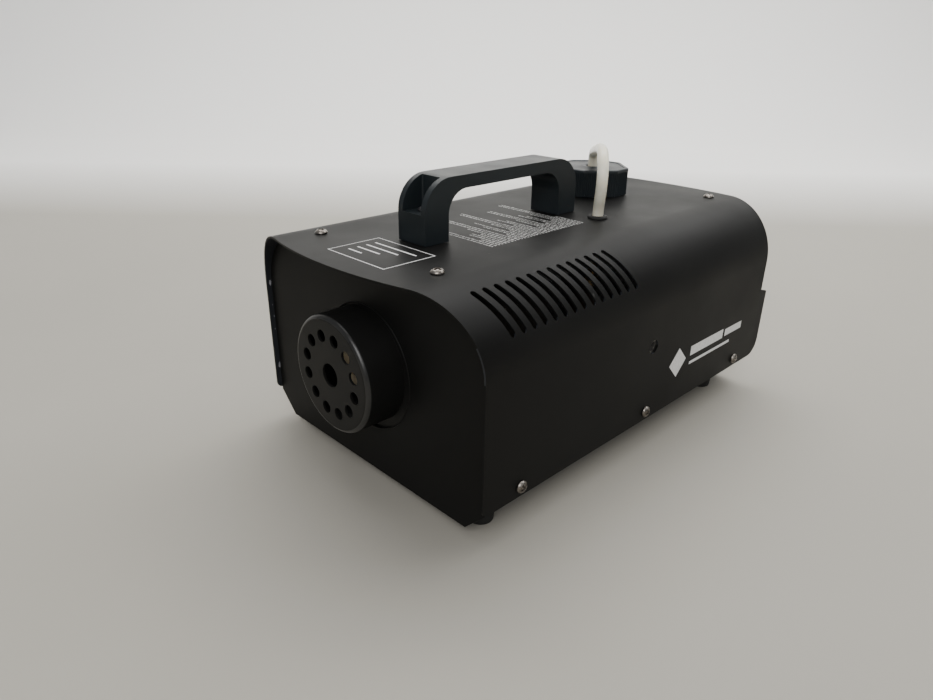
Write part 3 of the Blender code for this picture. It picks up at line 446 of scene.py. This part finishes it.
def cover_section():
    """Cross-section points with their outward normals, right foot to left foot."""
    heights = [WALL_LOW_Z + h for h in (0, 0.0004, 0.0010, 0.0018, 0.0028, 0.0040, 0.0060, 0.0090, 0.0120)]
    heights += [0.050, SKIRT_Z - 0.0015, SKIRT_Z + 0.0015, 0.088]
    half = [((HALF_W, z), (1.0, 0.0)) for z in heights]
    flat, steps = HALF_W - CORNER_R, CORNER_STEPS
    for i in range(steps + 1):
        t = math.radians(90 * i / steps)
        half.append(((flat + CORNER_R * math.cos(t), TOP_Z - CORNER_R + CORNER_R * math.sin(t)),
                     (math.cos(t), math.sin(t))))
    half += [((flat * (1 - i / 8), TOP_Z), (0.0, 1.0)) for i in range(1, 8)]
    return half + [((0.0, TOP_Z), (0.0, 1.0))] + [((-x, z), (-nx, nz)) for (x, z), (nx, nz) in reversed(half)]


def slot_tools():
    bm = bmesh.new()
    centre_x, centre_z = HALF_W - CORNER_R, TOP_Z - CORNER_R
    start, end = SLOT_ARC
    middle = (start + end) / 2
    chord = 2 * CORNER_R * math.sin((end - start) / 2)
    length, lean = math.hypot(chord, SLOT_SLANT), math.atan2(SLOT_SLANT, chord)
    reach, round_r = CORNER_R * math.cos((end - start) / 2), SLOT_WIDTH / 2
    straight = length / 2 - round_r
    outline = arc(straight, 0, round_r, -90, 90, 8) + arc(-straight, 0, round_r, 90, 270, 8)
    for side in (1, -1):
        outward = Vector((side * math.sin(middle), 0, math.cos(middle)))
        down = Vector((side * math.cos(middle), 0, -math.sin(middle)))
        along = down * math.cos(lean) + Vector((0, 1, 0)) * math.sin(lean)
        across = outward.cross(along)
        for i in range(SLOT_COUNT):
            y = SLOT_FIRST_Y + SLOT_SLANT / 2 + i * SLOT_PITCH
            origin = Vector((side * centre_x, y, centre_z)) + outward * reach
            rings = [[bm.verts.new(origin + outward * depth + along * a + across * b) for a, b in outline]
                     for depth in (-0.006, 0.009)]
            bm.faces.new(rings[0])
            bm.faces.new(rings[1][::-1])
            for j in range(len(outline)):
                k = (j + 1) % len(outline)
                bm.faces.new((rings[0][j], rings[0][k], rings[1][k], rings[1][j]))
    return bm


def make_cover():
    bm = bmesh.new()
    layers, count = [], COVER_SPANS
    for inset in (0.0, SHEET):
        rows = []
        for (x, z), (nx, nz) in cover_section():
            front, rear = cover_edges(x, z)
            rows.append([bm.verts.new((x - nx * inset, front + (rear - front) * i / count, z - nz * inset))
                         for i in range(count + 1)])
        layers.append(rows)
    outer, inner = layers
    last = len(outer) - 1
    for rows in layers:
        for a, b in zip(rows, rows[1:]):
            for i in range(count):
                bm.faces.new((a[i], a[i + 1], b[i + 1], b[i]))
    for j in range(last):
        for i in (0, count):
            bm.faces.new((outer[j][i], outer[j + 1][i], inner[j + 1][i], inner[j][i]))
    for i in range(count):
        for j in (0, last):
            bm.faces.new((outer[j][i], outer[j][i + 1], inner[j][i + 1], inner[j][i]))
    cover = make("cover_shell", bm, COAT)
    tools = slot_tools()
    for side in (1, -1):
        wall = (side * (HALF_W - WALL_CUT), side * (HALF_W + WALL_CUT))
        for y in SIDE_SCREW_Y:
            add_prism(tools, circle(y, SIDE_SCREW_Z, SCREW_HOLE_R, 24), "X", *wall)
        add_prism(tools, circle(BRACKET_Y, BRACKET_Z, BRACKET_HOLE_R, 40), "X", *wall)
        for y in TOP_SCREW_Y:
            add_prism(tools, circle(side * TOP_SCREW_X, y, SCREW_HOLE_R, 24), "Z", *TOP_CUT_Z)
    add_prism(tools, circle(CAP_X, CAP_Y, CAP_HOLE_R, 72), "Z", *TOP_CUT_Z)
    add_prism(tools, circle(GROMMET_X, GROMMET_Y, GROMMET_HOLE_R, 40), "Z", *TOP_CUT_Z)
    carve(cover, make("tools", tools))
    soften(cover, 0.00030, 2, 60)
    # The cover's inward-facing faces take the lighter copy of the coat: painted light.
    cover.data.materials.append(PAINTED_LIGHT_INNER_COAT)
    for polygon in cover.data.polygons:
        outward = Vector((polygon.center.x, 0, polygon.center.z - TOP_Z / 2))
        if polygon.normal.dot(outward) < 0:
            polygon.material_index = 1
    place(cover, "powder_coat", "top_cover")


def make_front_panel():
    polished("front_plate", "front_panel", COAT, "powder_coat", 0.0003)
    x, z, hole = PANEL_HOLE
    rim = [(hole, 0.0002), (hole + 0.0010, 0.0002), (hole + 0.0009, -0.0002), (hole + 0.0005, -0.0004),
           (hole + 0.0001, -0.0002)]
    ring = turned("panel_rim", rim, "Y", (x, PANEL_FRONT_Y, z), COAT, 96, 60)
    place(ring, "powder_coat")


def make_shroud():
    low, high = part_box("nozzle_shroud")
    face, back, wall, round_r, flange_r = low.y, high.y, 0.0015, 0.0030, high.x
    rim = [(SHROUD_R - round_r + a, face + round_r + b) for a, b in arc(0, 0, round_r, -90, 0, 12)]
    inner = SHROUD_R - wall
    profile = [(0, face), (0.012, face), (0.028, face), *rim, (SHROUD_R, back - SHEET),
               (flange_r, back - SHEET), (flange_r, back), (inner, back), (inner, face + round_r),
               (inner - round_r, face + wall),
               (0, face + wall)]
    cup = turned("nozzle_cup", profile, "Y", (0, 0, NOZZLE_Z), CUP_COAT, 120, 40)
    tools = bmesh.new()
    span = (face - 0.003, face + 0.004)
    add_prism(tools, circle(0, NOZZLE_Z, SHROUD_BORE_R, 48), "Y", *span)
    for i in range(12):
        angle = 2 * math.pi * (i + 0.5) / 12
        a, b = SHROUD_RING_R * math.cos(angle), NOZZLE_Z + SHROUD_RING_R * math.sin(angle)
        add_prism(tools, circle(a, b, SHROUD_HOLE_R, 32), "Y", *span)
    carve(cup, make("tools", tools))
    soften(cup, 0.00035, 3, 60)
    # The rim fillet's faces take the lighter copy: rim wear with a painted highlight.
    cup.data.materials.append(CUP_RIM_WEAR_AND_HIGHLIGHT)
    for polygon in cup.data.polygons:
        x, y, z = polygon.center
        outside = math.hypot(x, z - NOZZLE_Z) > SHROUD_R - round_r
        if outside and y < face + round_r and 0.25 < -polygon.normal.y < 0.97:
            polygon.material_index = 1
    place(cup, "powder_coat", "nozzle_shroud")


def make_handle():
    front, rear, top, base = HANDLE_LOW.y, HANDLE_HIGH.y, HANDLE_HIGH.z, HANDLE_LOW.z
    outer, inner, leg, under = 0.0195, 0.0140, 0.0178, top - 0.0076
    outline = [(front, base), *arc(front + outer, top - outer, outer, 180, 90, 18),
               *arc(rear - outer, top - outer, outer, 90, 0, 18), (rear, base), (rear - leg, base),
               *arc(rear - leg - inner, under - inner, inner, 0, 90, 14),
               *arc(front + leg + inner, under - inner, inner, 90, 180, 14), (front + leg, base)]
    handle = prism("carry_handle", outline, "X", HANDLE_LOW.x, HANDLE_HIGH.x, PLASTIC)
    tools = bmesh.new()
    half = POCKET_W / 2
    for y0, y1 in ((front - 0.002, front + leg - 0.0026), (rear - leg + 0.0026, rear + 0.002)):
        pocket = rounded(HANDLE_X - half, HANDLE_X + half, y0, y1, 0.0012, 4)
        add_prism(tools, pocket, "Z", POCKET_Z, top + 0.003)
    carve(handle, make("tools", tools))
    soften(handle, 0.0013, 4, 50)
    place(handle, "black_plastic", "handle")


def make_screws():
    """One cross-recess pan head, used for every casing screw."""
    profile = [(0, 0.00236), (0.0010, 0.00232), (0.0020, 0.00212), (0.0028, 0.00172), (0.0034, 0.00110),
               (HEAD_R, 0.00045), (HEAD_R, 0), (0.0019, 0), (0.0019, -0.0080), (0, -0.0080)]
    master = turned("screw", profile, "Z", (0, 0, 0), NICKEL, 40)
    long, wide = RECESS_HALF_LONG, RECESS_HALF_WIDE
    for half_x, half_y in ((long, wide), (wide, long)):
        cross = bmesh.new()
        add_prism(cross, rectangle(-half_x, half_x, -half_y, half_y), "Z", RECESS_FLOOR_Z, 0.004)
        carve(master, make("tools", cross))
    soften(master, 0.00012, 2, 45)
    mesh = master.data
    bpy.data.objects.remove(master, do_unlink=True)

    # The screws in the handle's pockets get the near-black copy: painted shade.
    shaded_screw_mesh = mesh.copy()
    shaded_screw_mesh.materials[0] = SHADED_SCREW_STEEL

    def set_screw(name, location, normal, node, shape=mesh):
        screw = bpy.data.objects.new(name, shape)
        bpy.context.scene.collection.objects.link(screw)
        turn = Matrix.Rotation(random.uniform(0, math.pi / 2), 4, "Z")
        upright = Vector(normal).to_track_quat("Z", "Y").to_matrix().to_4x4()
        screw.matrix_world = Matrix.Translation(location) @ upright @ turn
        place(screw, "nickel_steel", node)

    for side, label in ((1, "right"), (-1, "left")):
        for y, spot_name in zip(SIDE_SCREW_Y, ("front", "middle", "rear")):
            location = (side * (HALF_W + GAP), y, SIDE_SCREW_Z)
            set_screw(f"pan_screw_side_{label}_{spot_name}", location, (side, 0, 0),
                      f"side_screw_{label}_{spot_name}")
        for y, spot_name in zip(TOP_SCREW_Y, ("front", "rear")):
            location = (side * TOP_SCREW_X, y, TOP_Z + GAP)
            set_screw(f"pan_screw_top_{label}_{spot_name}", location, (0, 0, 1),
                      f"top_screw_{label}_{spot_name}")
    for y, spot_name in ((HANDLE_LOW.y + 0.0095, "front"), (HANDLE_HIGH.y - 0.0095, "rear")):
        location = (HANDLE_X, y, POCKET_Z + GAP)
        set_screw(f"pan_screw_handle_{spot_name}", location, (0, 0, 1), f"handle_screw_{spot_name}",
                  shaded_screw_mesh)


def make_feet():
    for place_name in ("front_left", "front_right", "rear_left", "rear_right"):
        low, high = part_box("foot_" + place_name)
        centre = ((low.x + high.x) / 2, (low.y + high.y) / 2, 0)
        top = FLOOR_Z - GAP
        profile = [(0, 0.0006), (0.0034, 0.0006), (0.0040, 0), (0.0066, 0), (0.0072, 0.0004),
                   (0.0075, 0.0012), (0.0079, top - 0.0008), (0.0076, top), (0.0029, top),
                   (0.0029, top + 0.0018), (0, top + 0.0018)]
        place(turned("rubber_foot_" + place_name, profile, "Z", centre, RUBBER, 56), "black_rubber",
              "foot_" + place_name)


# Filler cap, hose -----------------------------------------------------------------------
def cap_radius(angle):
    """Radius of the eight-flat outline in one direction, its corners a little rounded."""
    t = (math.degrees(angle) - CAP_TURN) % 90
    if t > 45:
        t -= 90
    short = CAP_SHORT / 2
    flat_short = CAP_R * math.cos(math.radians(short))
    flat_long = CAP_R * math.cos(math.radians(45 - short))
    r = min(flat_short / math.cos(math.radians(t)),
            flat_long / math.cos(math.radians(45 - abs(t))) if abs(t) > 1e-9 else 9.0)
    return min(r, CAP_R - CAP_CORNER_TRIM)


def make_cap():
    per = CAP_STEPS_PER_RIB
    count = CAP_RIBS * per
    top, low = CAP_TOP_Z, CAP_LOW_Z
    rows = [(low, 0.0000, 0.8), (low + 0.0006, 0.0, 1.0), (top - 0.0030, 0.0, 1.0), (top - 0.0022, 0.0, 0.0),
            (top - 0.0009, 0.0001, 0.0), (top - 0.0003, 0.0004, 0.0), (top, 0.0010, 0.0), (top, 0.0030, 0.0),
            (top - 0.0005, 0.0035, 0.0)]
    bm = bmesh.new()
    rings = []
    for z, inset, rib in rows:
        ring = []
        for i in range(count):
            angle = 2 * math.pi * i / count
            groove = RIB_DEPTH * rib * (0.5 - 0.5 * math.cos(2 * math.pi * i / per)) if rib else 0.0
            r = cap_radius(angle) - 0.0001 - inset - groove
            ring.append(bm.verts.new((CAP_X + r * math.cos(angle), CAP_Y + r * math.sin(angle), z)))
        rings.append(ring)
    bore = HOSE_R + CAP_CLEARANCE
    for radius, z in ((0.0095, top - 0.0005), (0.0088, top - 0.0001), (bore + 0.0006, top - 0.0001),
                      (bore, top - 0.0006), (bore, top - 0.0070), (0.0229, top - 0.0075), (0.0229, low)):
        rings.append([bm.verts.new((CAP_X + a, CAP_Y + b, z)) for a, b in circle(0, 0, radius, count)])
    for one, two in zip(rings, rings[1:] + rings[:1]):
        for i in range(count):
            j = (i + 1) % count
            bm.faces.new((one[i], one[j], two[j], two[i]))
    place(make("screw_cap", bm, PLASTIC, 40), "black_plastic", "tank_cap", body="cap")


def smooth_route(points, per_span):
    spots = [Vector(p) for p in points]
    ends = [2 * spots[0] - spots[1], *spots, 2 * spots[-1] - spots[-2]]
    route = []
    for p0, p1, p2, p3 in zip(ends, ends[1:], ends[2:], ends[3:]):
        for i in range(per_span):
            t = i / per_span
            route.append(0.5 * (2 * p1 + (p2 - p0) * t + (2 * p0 - 5 * p1 + 4 * p2 - p3) * t * t
                                + (3 * p1 - p0 - 3 * p2 + p3) * t ** 3))
    route.append(spots[-1])
    return route


def make_hose():
    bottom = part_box("suction_hose")[0].z
    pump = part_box("pump_cylinder")[1].z
    reach = ((0.008, 0.1672), (0.05, 0.1702), (0.18, 0.1730), (0.38, 0.1759), (0.62, 0.1796), (0.82, 0.1818),
             (0.97, 0.1810), (1.08, 0.1750), (1.12, 0.1660), (1.08, 0.1560), (1.02, 0.1470))
    points = [(CAP_X, CAP_Y, z) for z in (bottom, 0.055, 0.100, 0.140, 0.158, 0.1640)]
    points += [(CAP_X + (GROMMET_X - CAP_X) * t, CAP_Y + (GROMMET_Y - CAP_Y) * t, z) for t, z in reach]
    points += [(GROMMET_X, GROMMET_Y, z) for z in (0.139, 0.125, pump + GAP)]
    route = smooth_route(points, 10)
    curve = bpy.data.curves.new("milky_hose", "CURVE")
    curve.dimensions = "3D"
    curve.bevel_depth = HOSE_R - HOSE_SKIN
    curve.bevel_resolution = 6
    curve.use_fill_caps = True
    spline = curve.splines.new("POLY")
    spline.points.add(len(route) - 1)
    for slot, point in zip(spline.points, route):
        slot.co = (*point, 1.0)
    hose = bpy.data.objects.new("milky_hose", curve)
    curve.materials.append(HOSE)
    bpy.context.scene.collection.objects.link(hose)
    place(hose, "hose_silicone", "suction_hose")


def make_grommet():
    top, under, inside = TOP_Z + GAP, TOP_Z - SHEET - GAP, HOSE_R + 0.0003
    profile = [(inside, top + 0.0012), (inside + 0.0003, top + 0.0017), (inside + 0.0010, top + 0.0018),
               (0.0056, top + 0.0017), (0.0063, top + 0.0012), (0.0066, top + 0.0005), (0.0066, top),
               (0.0051, top), (0.0051, under), (0.0064, under), (0.0062, under - 0.0010),
               (0.0056, under - 0.0016),
               (inside, under - 0.0016)]
    place(turned("rubber_grommet", profile, "Z", (GROMMET_X, GROMMET_Y, 0), RUBBER, 48, 50), "black_rubber",
          "hose_grommet")


# Printing -------------------------------------------------------------------------------
def ink_patch(bm, quads, lift):
    for corners in quads:
        bm.faces.new([bm.verts.new(lift(a, b)) for a, b in corners])


def make_prints():
    """Plain bars in place of the printed notes: a framed panel, a block of lines and a side mark."""
    z = TOP_Z + INK_LIFT

    def on_top(a, b):
        return a, b, z

    bm = bmesh.new()
    x0, x1, y0, y1, w = -0.021, 0.029, -0.1490, -0.1132, 0.0006
    frame_bars = [rectangle(x0, x1, y0, y0 + w), rectangle(x0, x1, y1 - w, y1),
                  rectangle(x0, x0 + w, y0 + w, y1 - w), rectangle(x1 - w, x1, y0 + w, y1 - w)]
    for k in range(4):
        low_y, high_y = y1 - 0.0085 - 0.0062 * k, y1 - 0.0073 - 0.0062 * k
        frame_bars.append(rectangle(x0 + 0.007, x1 - 0.007 - 0.008 * k, low_y, high_y))
    ink_patch(bm, frame_bars, on_top)
    place(make("print_panel", bm, INK), "print_white")
    bm = bmesh.new()
    bars = []
    edge = NOTE_EDGE_X
    for row in range(NOTE_ROWS):
        y = NOTE_FIRST_Y + NOTE_PITCH * row
        x, dense = edge, edge - random.uniform(0.012, 0.024)
        if row % 7 < 2:
            end = edge - random.uniform(0.060, 0.070)
        elif row % 7 in (2, 5):
            end = dense
        else:
            end = edge - random.uniform(0.026, 0.046)
        while x > end:
            word = random.uniform(0.0006, 0.0026)
            under_leg = abs(x - word / 2 - HANDLE_X) < 0.0155 and y > HANDLE_HIGH.y - 0.0200
            if not under_leg:
                low_y = y + random.uniform(0.0, 0.0003)
                bars.append(rectangle(x - word, x, low_y, low_y + random.uniform(0.0009, 0.0014)))
            x -= word + random.uniform(0.0004, 0.0008)
    ink_patch(bm, bars, on_top)
    place(make("print_lines", bm, FAINT_INK), "print_white")
    side = HALF_W + INK_LIFT

    def on_side(a, b):
        return side, a, b

    bm = bmesh.new()
    mid_y, mid_z, r = 0.0370, 0.0530, 0.0105
    side_marks = [circle(mid_y, mid_z, r, 4), rectangle(0.0530, 0.0980, 0.0530, 0.0600),
                  rectangle(0.1010, 0.1260, 0.0535, 0.0590), rectangle(0.0530, 0.1100, 0.0465, 0.0487)]
    ink_patch(bm, side_marks, on_side)
    place(make("print_side", bm, INK), "print_white")


def make_chips():
    """Small chips in the coat on the hood's front lip, where the bare sheet shows."""
    bm = bmesh.new()
    inner = -HALF_W + SHEET + CHIP_LIFT
    spots = [(-0.1442, 0.1000, 0.0012), (-0.1436, 0.0404, 0.0012)]
    for _ in range(SMALL_CHIPS):
        y = random.uniform(-0.1455, -0.1350)
        z = random.uniform(0.018, 0.105)
        spots.append((y, z, random.uniform(0.0002, 0.0005)))
    for y, z, size in spots:
        count = random.randint(5, 7)
        corners = []
        for i in range(count):
            angle = 2 * math.pi * i / count
            a = y + size * random.uniform(0.5, 0.9) * math.cos(angle)
            b = z + size * random.uniform(1.6, 2.6) * math.sin(angle)
            corners.append((a, b))
        bm.faces.new([bm.verts.new((inner, a, b)) for a, b in corners])
    place(make("lip_chips", bm, CHIP), "steel")


# Rear controls --------------------------------------------------------------------------
def make_controls():
    rear = PANEL_REAR_Y
    polished("rear_plate", "rear_panel", COAT, "powder_coat", 0.0003)
    polished("chassis_tray", "base_tray", COAT, "powder_coat", 0.0003)
    polished("inlet_moulding", "power_inlet", CONTROL_PLASTIC, "black_plastic", 0.0004)
    polished("fuse_tray_moulding", "fuse_drawer", CONTROL_PLASTIC, "black_plastic", 0.0003, body="fuse_tray")
    polished("switch_moulding", "switch_housing", CONTROL_PLASTIC, "black_plastic", 0.0005)
    polished("rocker_moulding", "rocker", CONTROL_PLASTIC, "black_plastic", 0.0005, body="switch_rocker")
    centre = (BUTTON_X, rear, PANEL_ROW_Z)
    bezel = [(0.0073, 0.0030), (0.0086, 0.0030), (0.0112, 0.0027), (0.0122, 0.0020), (0.0127, 0.0010),
             (0.0128, 0.0003), (0.0099, 0.0003), (0.0099, -0.0150), (0.0030, -0.0150), (0.0030, -0.0135),
             (0.0072, -0.0135), (0.0072, 0.0026)]
    place(turned("button_ring", bezel, "Y", centre, CONTROL_PLASTIC, 72), "black_plastic", "button_bezel")
    button = [(0, 0.0052), (0.0035, 0.0053), (0.0052, 0.0057), (0.0060, 0.0059), (0.0065, 0.0056),
              (0.0068, 0.0050), (0.0068, -0.0060), (0, -0.0060)]
    place(turned("push_button_cap", button, "Y", centre, RED, 64), "button_red", "fog_button",
          body="push_button")
    lamp = [(0, 0.0035), (0.0012, 0.00335), (0.0024, 0.0029), (0.0034, 0.0021), (0.0040, 0.0012),
            (0.0049, 0.0010), (0.0050, GAP), (0.0037, GAP), (0.0037, -0.010), (0, -0.010)]
    place(turned("lamp_lens", lamp, "Y", (BUTTON_X, rear, LAMP_Z), LAMP, 48), "lamp_green", "ready_lamp")
    socket = [(0, -0.0100), (0.0080, -0.0100), (0.0080, 0.0020), (0.0086, 0.0026), (0.0126, 0.0022),
              (0.0134, 0.0014), (0.0135, GAP), (0.0104, GAP), (0.0104, -0.0180), (0, -0.0180)]
    socket_centre = (REMOTE_X, rear, PANEL_ROW_Z)
    place(turned("remote_shell", socket, "Y", socket_centre, CONTROL_PLASTIC, 72), "black_plastic",
          "remote_socket")
    pins = bmesh.new()
    for a, b in circle(REMOTE_X, PANEL_ROW_Z, 0.0042, 3, math.radians(90)):
        pin = [(0, -0.0010), (0.0005, -0.0012), (0.0008, -0.0020), (0.0008, -0.0102), (0, -0.0102)]
        add_turned(pins, pin, "Y", Vector((a, rear, b)), 16)
    place(make("remote_pins", pins, NICKEL), "nickel_steel")
    blades = bmesh.new()
    for dx, dz in ((-0.0070, 0.0005), (0.0070, 0.0005), (0.0, 0.0045)):
        blade = rectangle(INLET_X + dx - 0.00105, INLET_X + dx + 0.00105,
                          PANEL_ROW_Z + dz - 0.00205, PANEL_ROW_Z + dz + 0.00205)
        add_prism(blades, blade, "Y", rear - 0.0145, rear - 0.0009)
    place(make("inlet_blades", blades, BRASS), "brass")
    # A short bar and a small ring mark the rocker's two ends.
    marks = bmesh.new()
    axis_y, tilt = rear - 0.0030, math.radians(10)

    def on_rocker(a, b):
        along = abs(b)
        face = 0.0044 + (0.0056 - 0.0044) * along / 0.0100 + 0.00008
        y, z = face * math.cos(tilt) - b * math.sin(tilt), face * math.sin(tilt) + b * math.cos(tilt)
        return SWITCH_X + a, axis_y + y, PANEL_ROW_Z + z

    ink_patch(marks, [rectangle(-0.00035, 0.00035, 0.0045, 0.0078)], on_rocker)
    ring_out, ring_in = circle(0, -0.0062, 0.0017, 24), circle(0, -0.0062, 0.0011, 24)
    ring = [(ring_out[i], ring_out[(i + 1) % 24], ring_in[(i + 1) % 24], ring_in[i]) for i in range(24)]
    ink_patch(marks, ring, on_rocker)
    place(make("rocker_marks", marks, INK), "print_white", body="switch_rocker")


def make_spring(name, node, axis, fixed_high):
    """A coil of round wire filling its CAD node's box. It does not yet shorten towards its fixed end, high or
    low, as its joint moves.
    """
    low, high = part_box(node)
    wire, turns, steps = SPRING_WIRE_R, SPRING_TURNS, SPRING_STEPS
    along = "XYZ".index(axis)
    across = (along + 1) % 3
    radius = (high[across] - low[across]) / 2 - wire
    centre = (low + high) / 2
    centre[along] = 0
    start, end = low[along] + wire, high[along] - wire
    curve = bpy.data.curves.new(name + "_line", "CURVE")
    curve.dimensions = "3D"
    curve.bevel_depth = wire
    curve.bevel_resolution = 3
    curve.use_fill_caps = True
    line = curve.splines.new("POLY")
    line.points.add(turns * steps)
    for i, point in enumerate(line.points):
        t = 2 * math.pi * i / steps
        share = i / (turns * steps)
        height = start + (end - start) * share
        place_on_coil = Vector(spot(axis, height, radius * math.cos(t), radius * math.sin(t)))
        point.co = (*(place_on_coil + centre), 1.0)
    source = bpy.data.objects.new(name + "_line", curve)
    bpy.context.scene.collection.objects.link(source)
    graph = bpy.context.evaluated_depsgraph_get()
    mesh = bpy.data.meshes.new_from_object(source.evaluated_get(graph))
    bpy.data.objects.remove(source, do_unlink=True)
    spring = bpy.data.objects.new(name, mesh)
    bpy.context.scene.collection.objects.link(spring)
    mesh.materials.clear()
    mesh.materials.append(NICKEL)
    shade(spring, 60)
    place(spring, "steel", node)
    centre[along] = high[along] if fixed_high else low[along]
    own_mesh(spring)


# Stage ----------------------------------------------------------------------------------
def make_stage():
    """Pale floor that curves up into a backdrop far behind."""
    bm = bmesh.new()
    away = Vector((-math.sin(math.radians(45)), math.cos(math.radians(45)), 0))
    side = Vector((away.y, -away.x, 0))
    steps = [(-12.0, 0.0), (-3.0, 0.0), (0.0, 0.0), (1.3, 0.0)]
    steps += [(1.3 + a, 0.5 + b) for a, b in arc(0, 0, 0.5, -84, 0, 14)]
    steps += [(1.8, 3.0)]
    wide = (-STAGE_HALF_WIDTH, STAGE_HALF_WIDTH)
    rows = [[bm.verts.new(away * d + side * s + Vector((0, 0, z))) for s in wide] for d, z in steps]
    for a, b in zip(rows, rows[1:]):
        bm.faces.new((a[0], a[1], b[1], b[0]))
    tree = FLOOR.node_tree
    depth = tree.nodes.new("ShaderNodeVectorMath")
    depth.operation = "DOT_PRODUCT"
    depth.inputs[1].default_value = away
    tree.links.new(tree.nodes[FLOOR["mapping"]].outputs["Vector"], depth.inputs[0])
    far = ramp(tree, depth.outputs["Value"], [(0.55, BLACK), (1.0, WHITE)])
    blend = tree.nodes.new("ShaderNodeMix")
    blend.data_type = "RGBA"
    tree.links.new(far.outputs["Color"], blend.inputs["Factor"])
    slots = [socket for socket in blend.inputs if socket.type == "RGBA"]
    tree.links.new(tree.nodes[FLOOR["tint"]].outputs["Color"], slots[0])
    slots[1].default_value = BACKDROP_COLOR
    painted = next(socket for socket in blend.outputs if socket.type == "RGBA")
    tree.links.new(painted, tree.nodes["Principled BSDF"].inputs["Base Color"])
    make("backdrop", bm, FLOOR, 80)


def add_light(name, location, target, size, power, color):
    light = bpy.data.lights.new(name, "AREA")
    light.shape = "RECTANGLE"
    light.size, light.size_y = size
    light.energy = power
    light.color = color
    obj = bpy.data.objects.new(name, light)
    obj.location = location
    obj.rotation_euler = (Vector(target) - Vector(location)).to_track_quat("-Z", "Y").to_euler()
    bpy.context.scene.collection.objects.link(obj)


def make_lights():
    world = bpy.data.worlds.new("studio")
    bpy.context.scene.world = world
    world.use_nodes = True
    shade_node = world.node_tree.nodes["Background"]
    shade_node.inputs["Color"].default_value = WORLD_COLOR
    shade_node.inputs["Strength"].default_value = WORLD_STRENGTH
    add_light("overhead", (-0.35, 0.35, 1.9), (0, 0, 0.1), (1.8, 1.8), 23, (1.0, 0.99, 0.97))
    add_light("backdrop_wash", (-0.75, 0.75, 2.1), (-1.35, 1.35, 0.5), (2.4, 0.6), 39, (1.0, 1.0, 0.99))
    add_light("front_fill", (1.15, -1.5, 1.5), (0, 0, 0.1), (1.4, 1.4), 31, (1.0, 0.99, 0.98))
    add_light("rear_right_fill", (0.50, 1.45, 1.5), (0.05, 0.1, 0.1), (1.8, 0.8), 16, (1.0, 1.0, 0.99))


def make_camera():
    yaw, pitch, roll = (math.radians(a) for a in (CAMERA_YAW, CAMERA_PITCH, CAMERA_ROLL))
    ahead = Vector((-math.sin(yaw) * math.cos(pitch), math.cos(yaw) * math.cos(pitch), -math.sin(pitch)))
    right = Vector((math.cos(yaw), math.sin(yaw), 0))
    up = right.cross(ahead)
    x_axis = math.cos(roll) * right + math.sin(roll) * up
    y_axis = -math.sin(roll) * right + math.cos(roll) * up
    turn = Matrix((x_axis, y_axis, -ahead)).transposed().to_4x4()
    camera = bpy.data.objects.new("camera", bpy.data.cameras.new("camera"))
    camera.data.sensor_width = CAMERA_SENSOR
    camera.data.lens = CAMERA_LENS
    camera.data.clip_start = 0.01
    camera.matrix_world = Matrix.Translation(CAMERA_AT) @ turn
    bpy.context.scene.collection.objects.link(camera)
    bpy.context.scene.camera = camera


def finish_inner_nodes():
    """Every CAD node that stays gets its slot's full material, except the heater jacket and the nozzle
    collar, which get darkened materials: painted shade.
    """
    slots = {row["node"]: row["material_slot"] for row in frame["record"]["subparts"]}
    special = {"heater_jacket": SHADED_JACKET, "nozzle_collar": SHADED_FIBRE}
    for name, node in frame["nodes"].items():
        node.data.materials.clear()
        node.data.materials.append(special.get(name, FINISH[slots[name]]))


make_camera()
finish_inner_nodes()
make_cover()
make_front_panel()
make_shroud()
make_handle()
make_screws()
make_feet()
make_cap()
make_hose()
make_grommet()
make_prints()
make_chips()
make_controls()
make_spring("button_return_spring", "button_spring", "Y", False)
# Known fault: this spring should lengthen with its low end fixed.
make_spring("pump_return_spring", "pump_spring", "Z", True)
make_stage()
make_lights()
